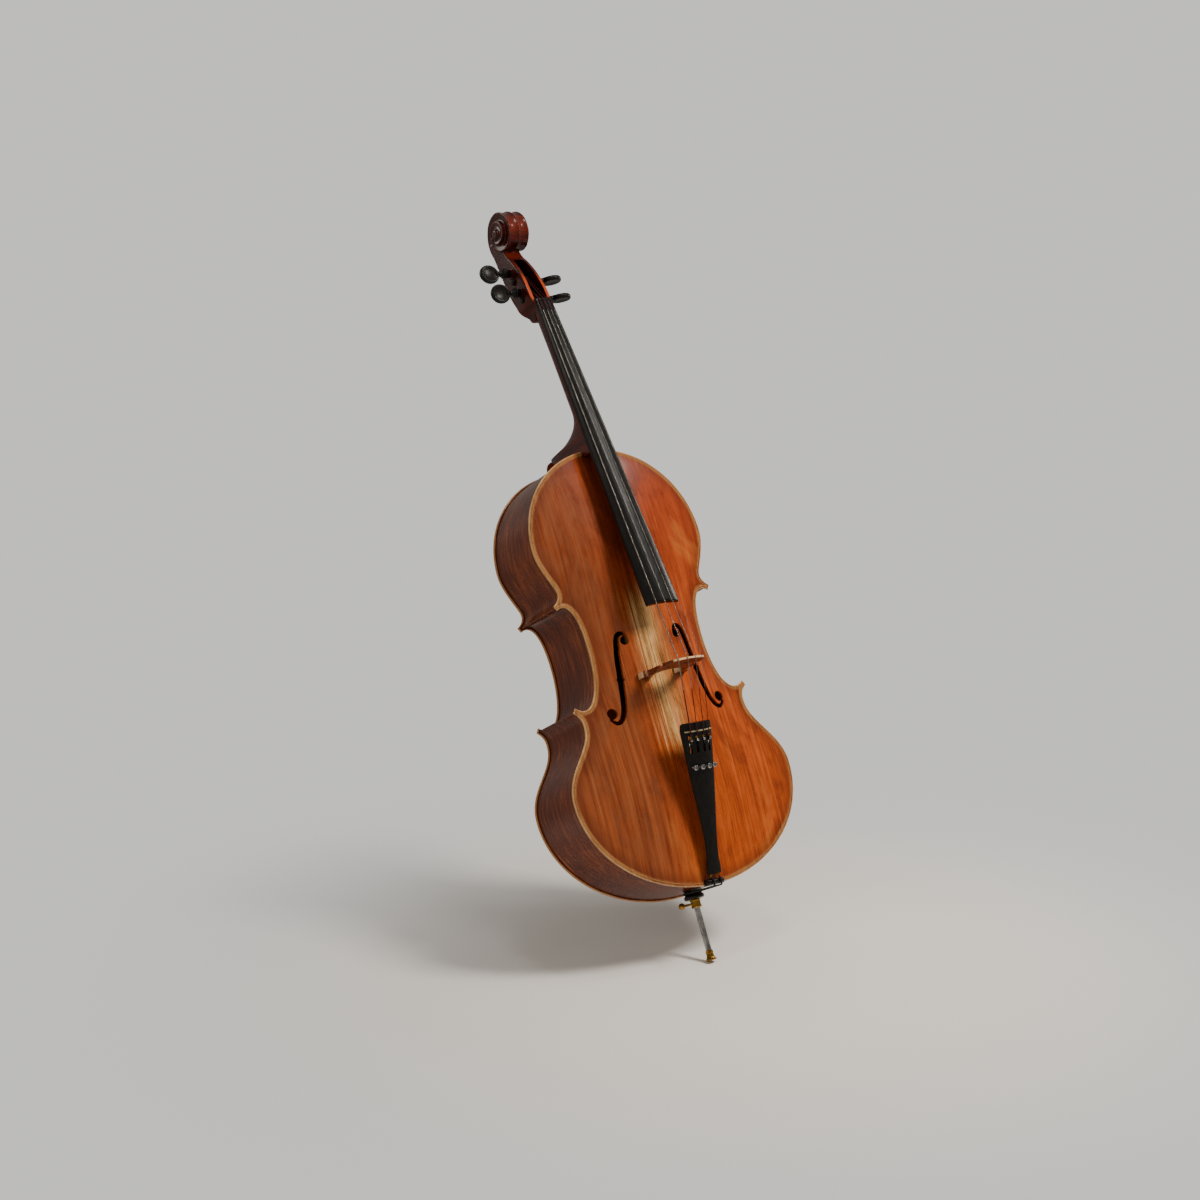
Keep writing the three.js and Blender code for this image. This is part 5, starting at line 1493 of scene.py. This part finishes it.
fine("tail_gut", tail_gut(), "tail_cord")
for side in (-1, 1):
    nut_at = through(TAIL, side * GUT_HALF, GUT_DEEP, TAIL_END - 2.2)
    barrel = turned(softened([[0, -2.4], [2.6, -2.4], [2.6, 2.4], [0, 2.4]], 0.5), 32)
    name = "tail_adjuster_bass" if side < 0 else "tail_adjuster_treble"
    piece(name, *moved(barrel, Matrix.Translation(nut_at) @ Matrix.Rotation(TAIL_TILT, 4, "X")), "brass")

ROD, FOOT_HEIGHT = 5.0, 17.0
SOCKET_BELOW, FERRULE_HEIGHT = 12.0, 14.0
FERRULE_TOP = BASE - SOCKET_BELOW - 0.3
FERRULE_LOW = FERRULE_TOP - FERRULE_HEIGHT
THUMB_Z = (FERRULE_TOP + FERRULE_LOW) / 2


def socket():
    bore = ROD + 0.3
    profile = [
        (bore, -12), (14.6, -12), (16.4, -11.2), (17, -9.5),
        (17, -6.8), (16.4, -5.6), (14.6, -4.4), (14.2, -3.4),
        (14.2, 1.2), (15.2, 2.2), (16, 3.2), (12, 3.2), (11, 52), (bore, 52), (bore, -12),
    ]
    return turned([(r, z + BASE) for r, z in profile], 72)


fine("endpin_socket", socket(), "ebony")


def ferrule():
    bore = ROD + 0.3
    top, low = FERRULE_TOP, FERRULE_LOW
    profile = [
        (bore, top), (8.2, top), (8.9, top - 0.8), (8.9, top - 2.2), (8.2, top - 2.9), (8.2, low + 3.2),
        (8.9, low + 2.6), (8.9, low + 1.2), (8.0, low), (bore, low), (bore, top),
    ]
    hole = turned([[0, -14], [2.3, -14], [2.3, -3], [0, -3]], 32, "x", (0, 0, THUMB_Z))
    return combined(turned(profile, 72), cuts=[hole])


fine("endpin_ferrule", ferrule(), "brass")
rod_profile = [
    (0, FOOT_HEIGHT + 0.3), (ROD, FOOT_HEIGHT + 0.3),
    (ROD, BASE + 395), (4.2, BASE + 398.4), (0, BASE + 400),
]
fine("endpin_rod", turned(rod_profile, 48), "steel", body="endpin")
foot_profile = [
    (0, 0), (8.4, 0), (9, 0.6), (9, 2.2), (8.3, 3.4), (7.2, 5.2),
    (6.4, 8), (6.1, 11), (6.6, 11.8), (6.6, 13.2), (6.1, 14),
    (6.3, 15), (6.3, 16.4), (5.8, 17), (0, 17),
]
fine("endpin_foot", turned(foot_profile, 64), "brass", body="endpin")
shank_profile = [[0, -23], [2, -23], *threads(2.0, 0.25, -22.5, -5.4), [0, -5.3]]
fine("thumb_screw", turned(shank_profile, 32, "x", (0, 0, THUMB_Z)), "brass", body="thumb_screw")
BALL, BALL_AT = 5.4, -28.7
ball_profile = [(BALL * math.sin(a), -BALL * math.cos(a)) for a in np.linspace(0, math.pi, 25)]
ball = turned(ball_profile, 40, "x", (BALL_AT, 0, THUMB_Z))
fine("thumb_screw_head", ball, "brass", body="thumb_screw_head")
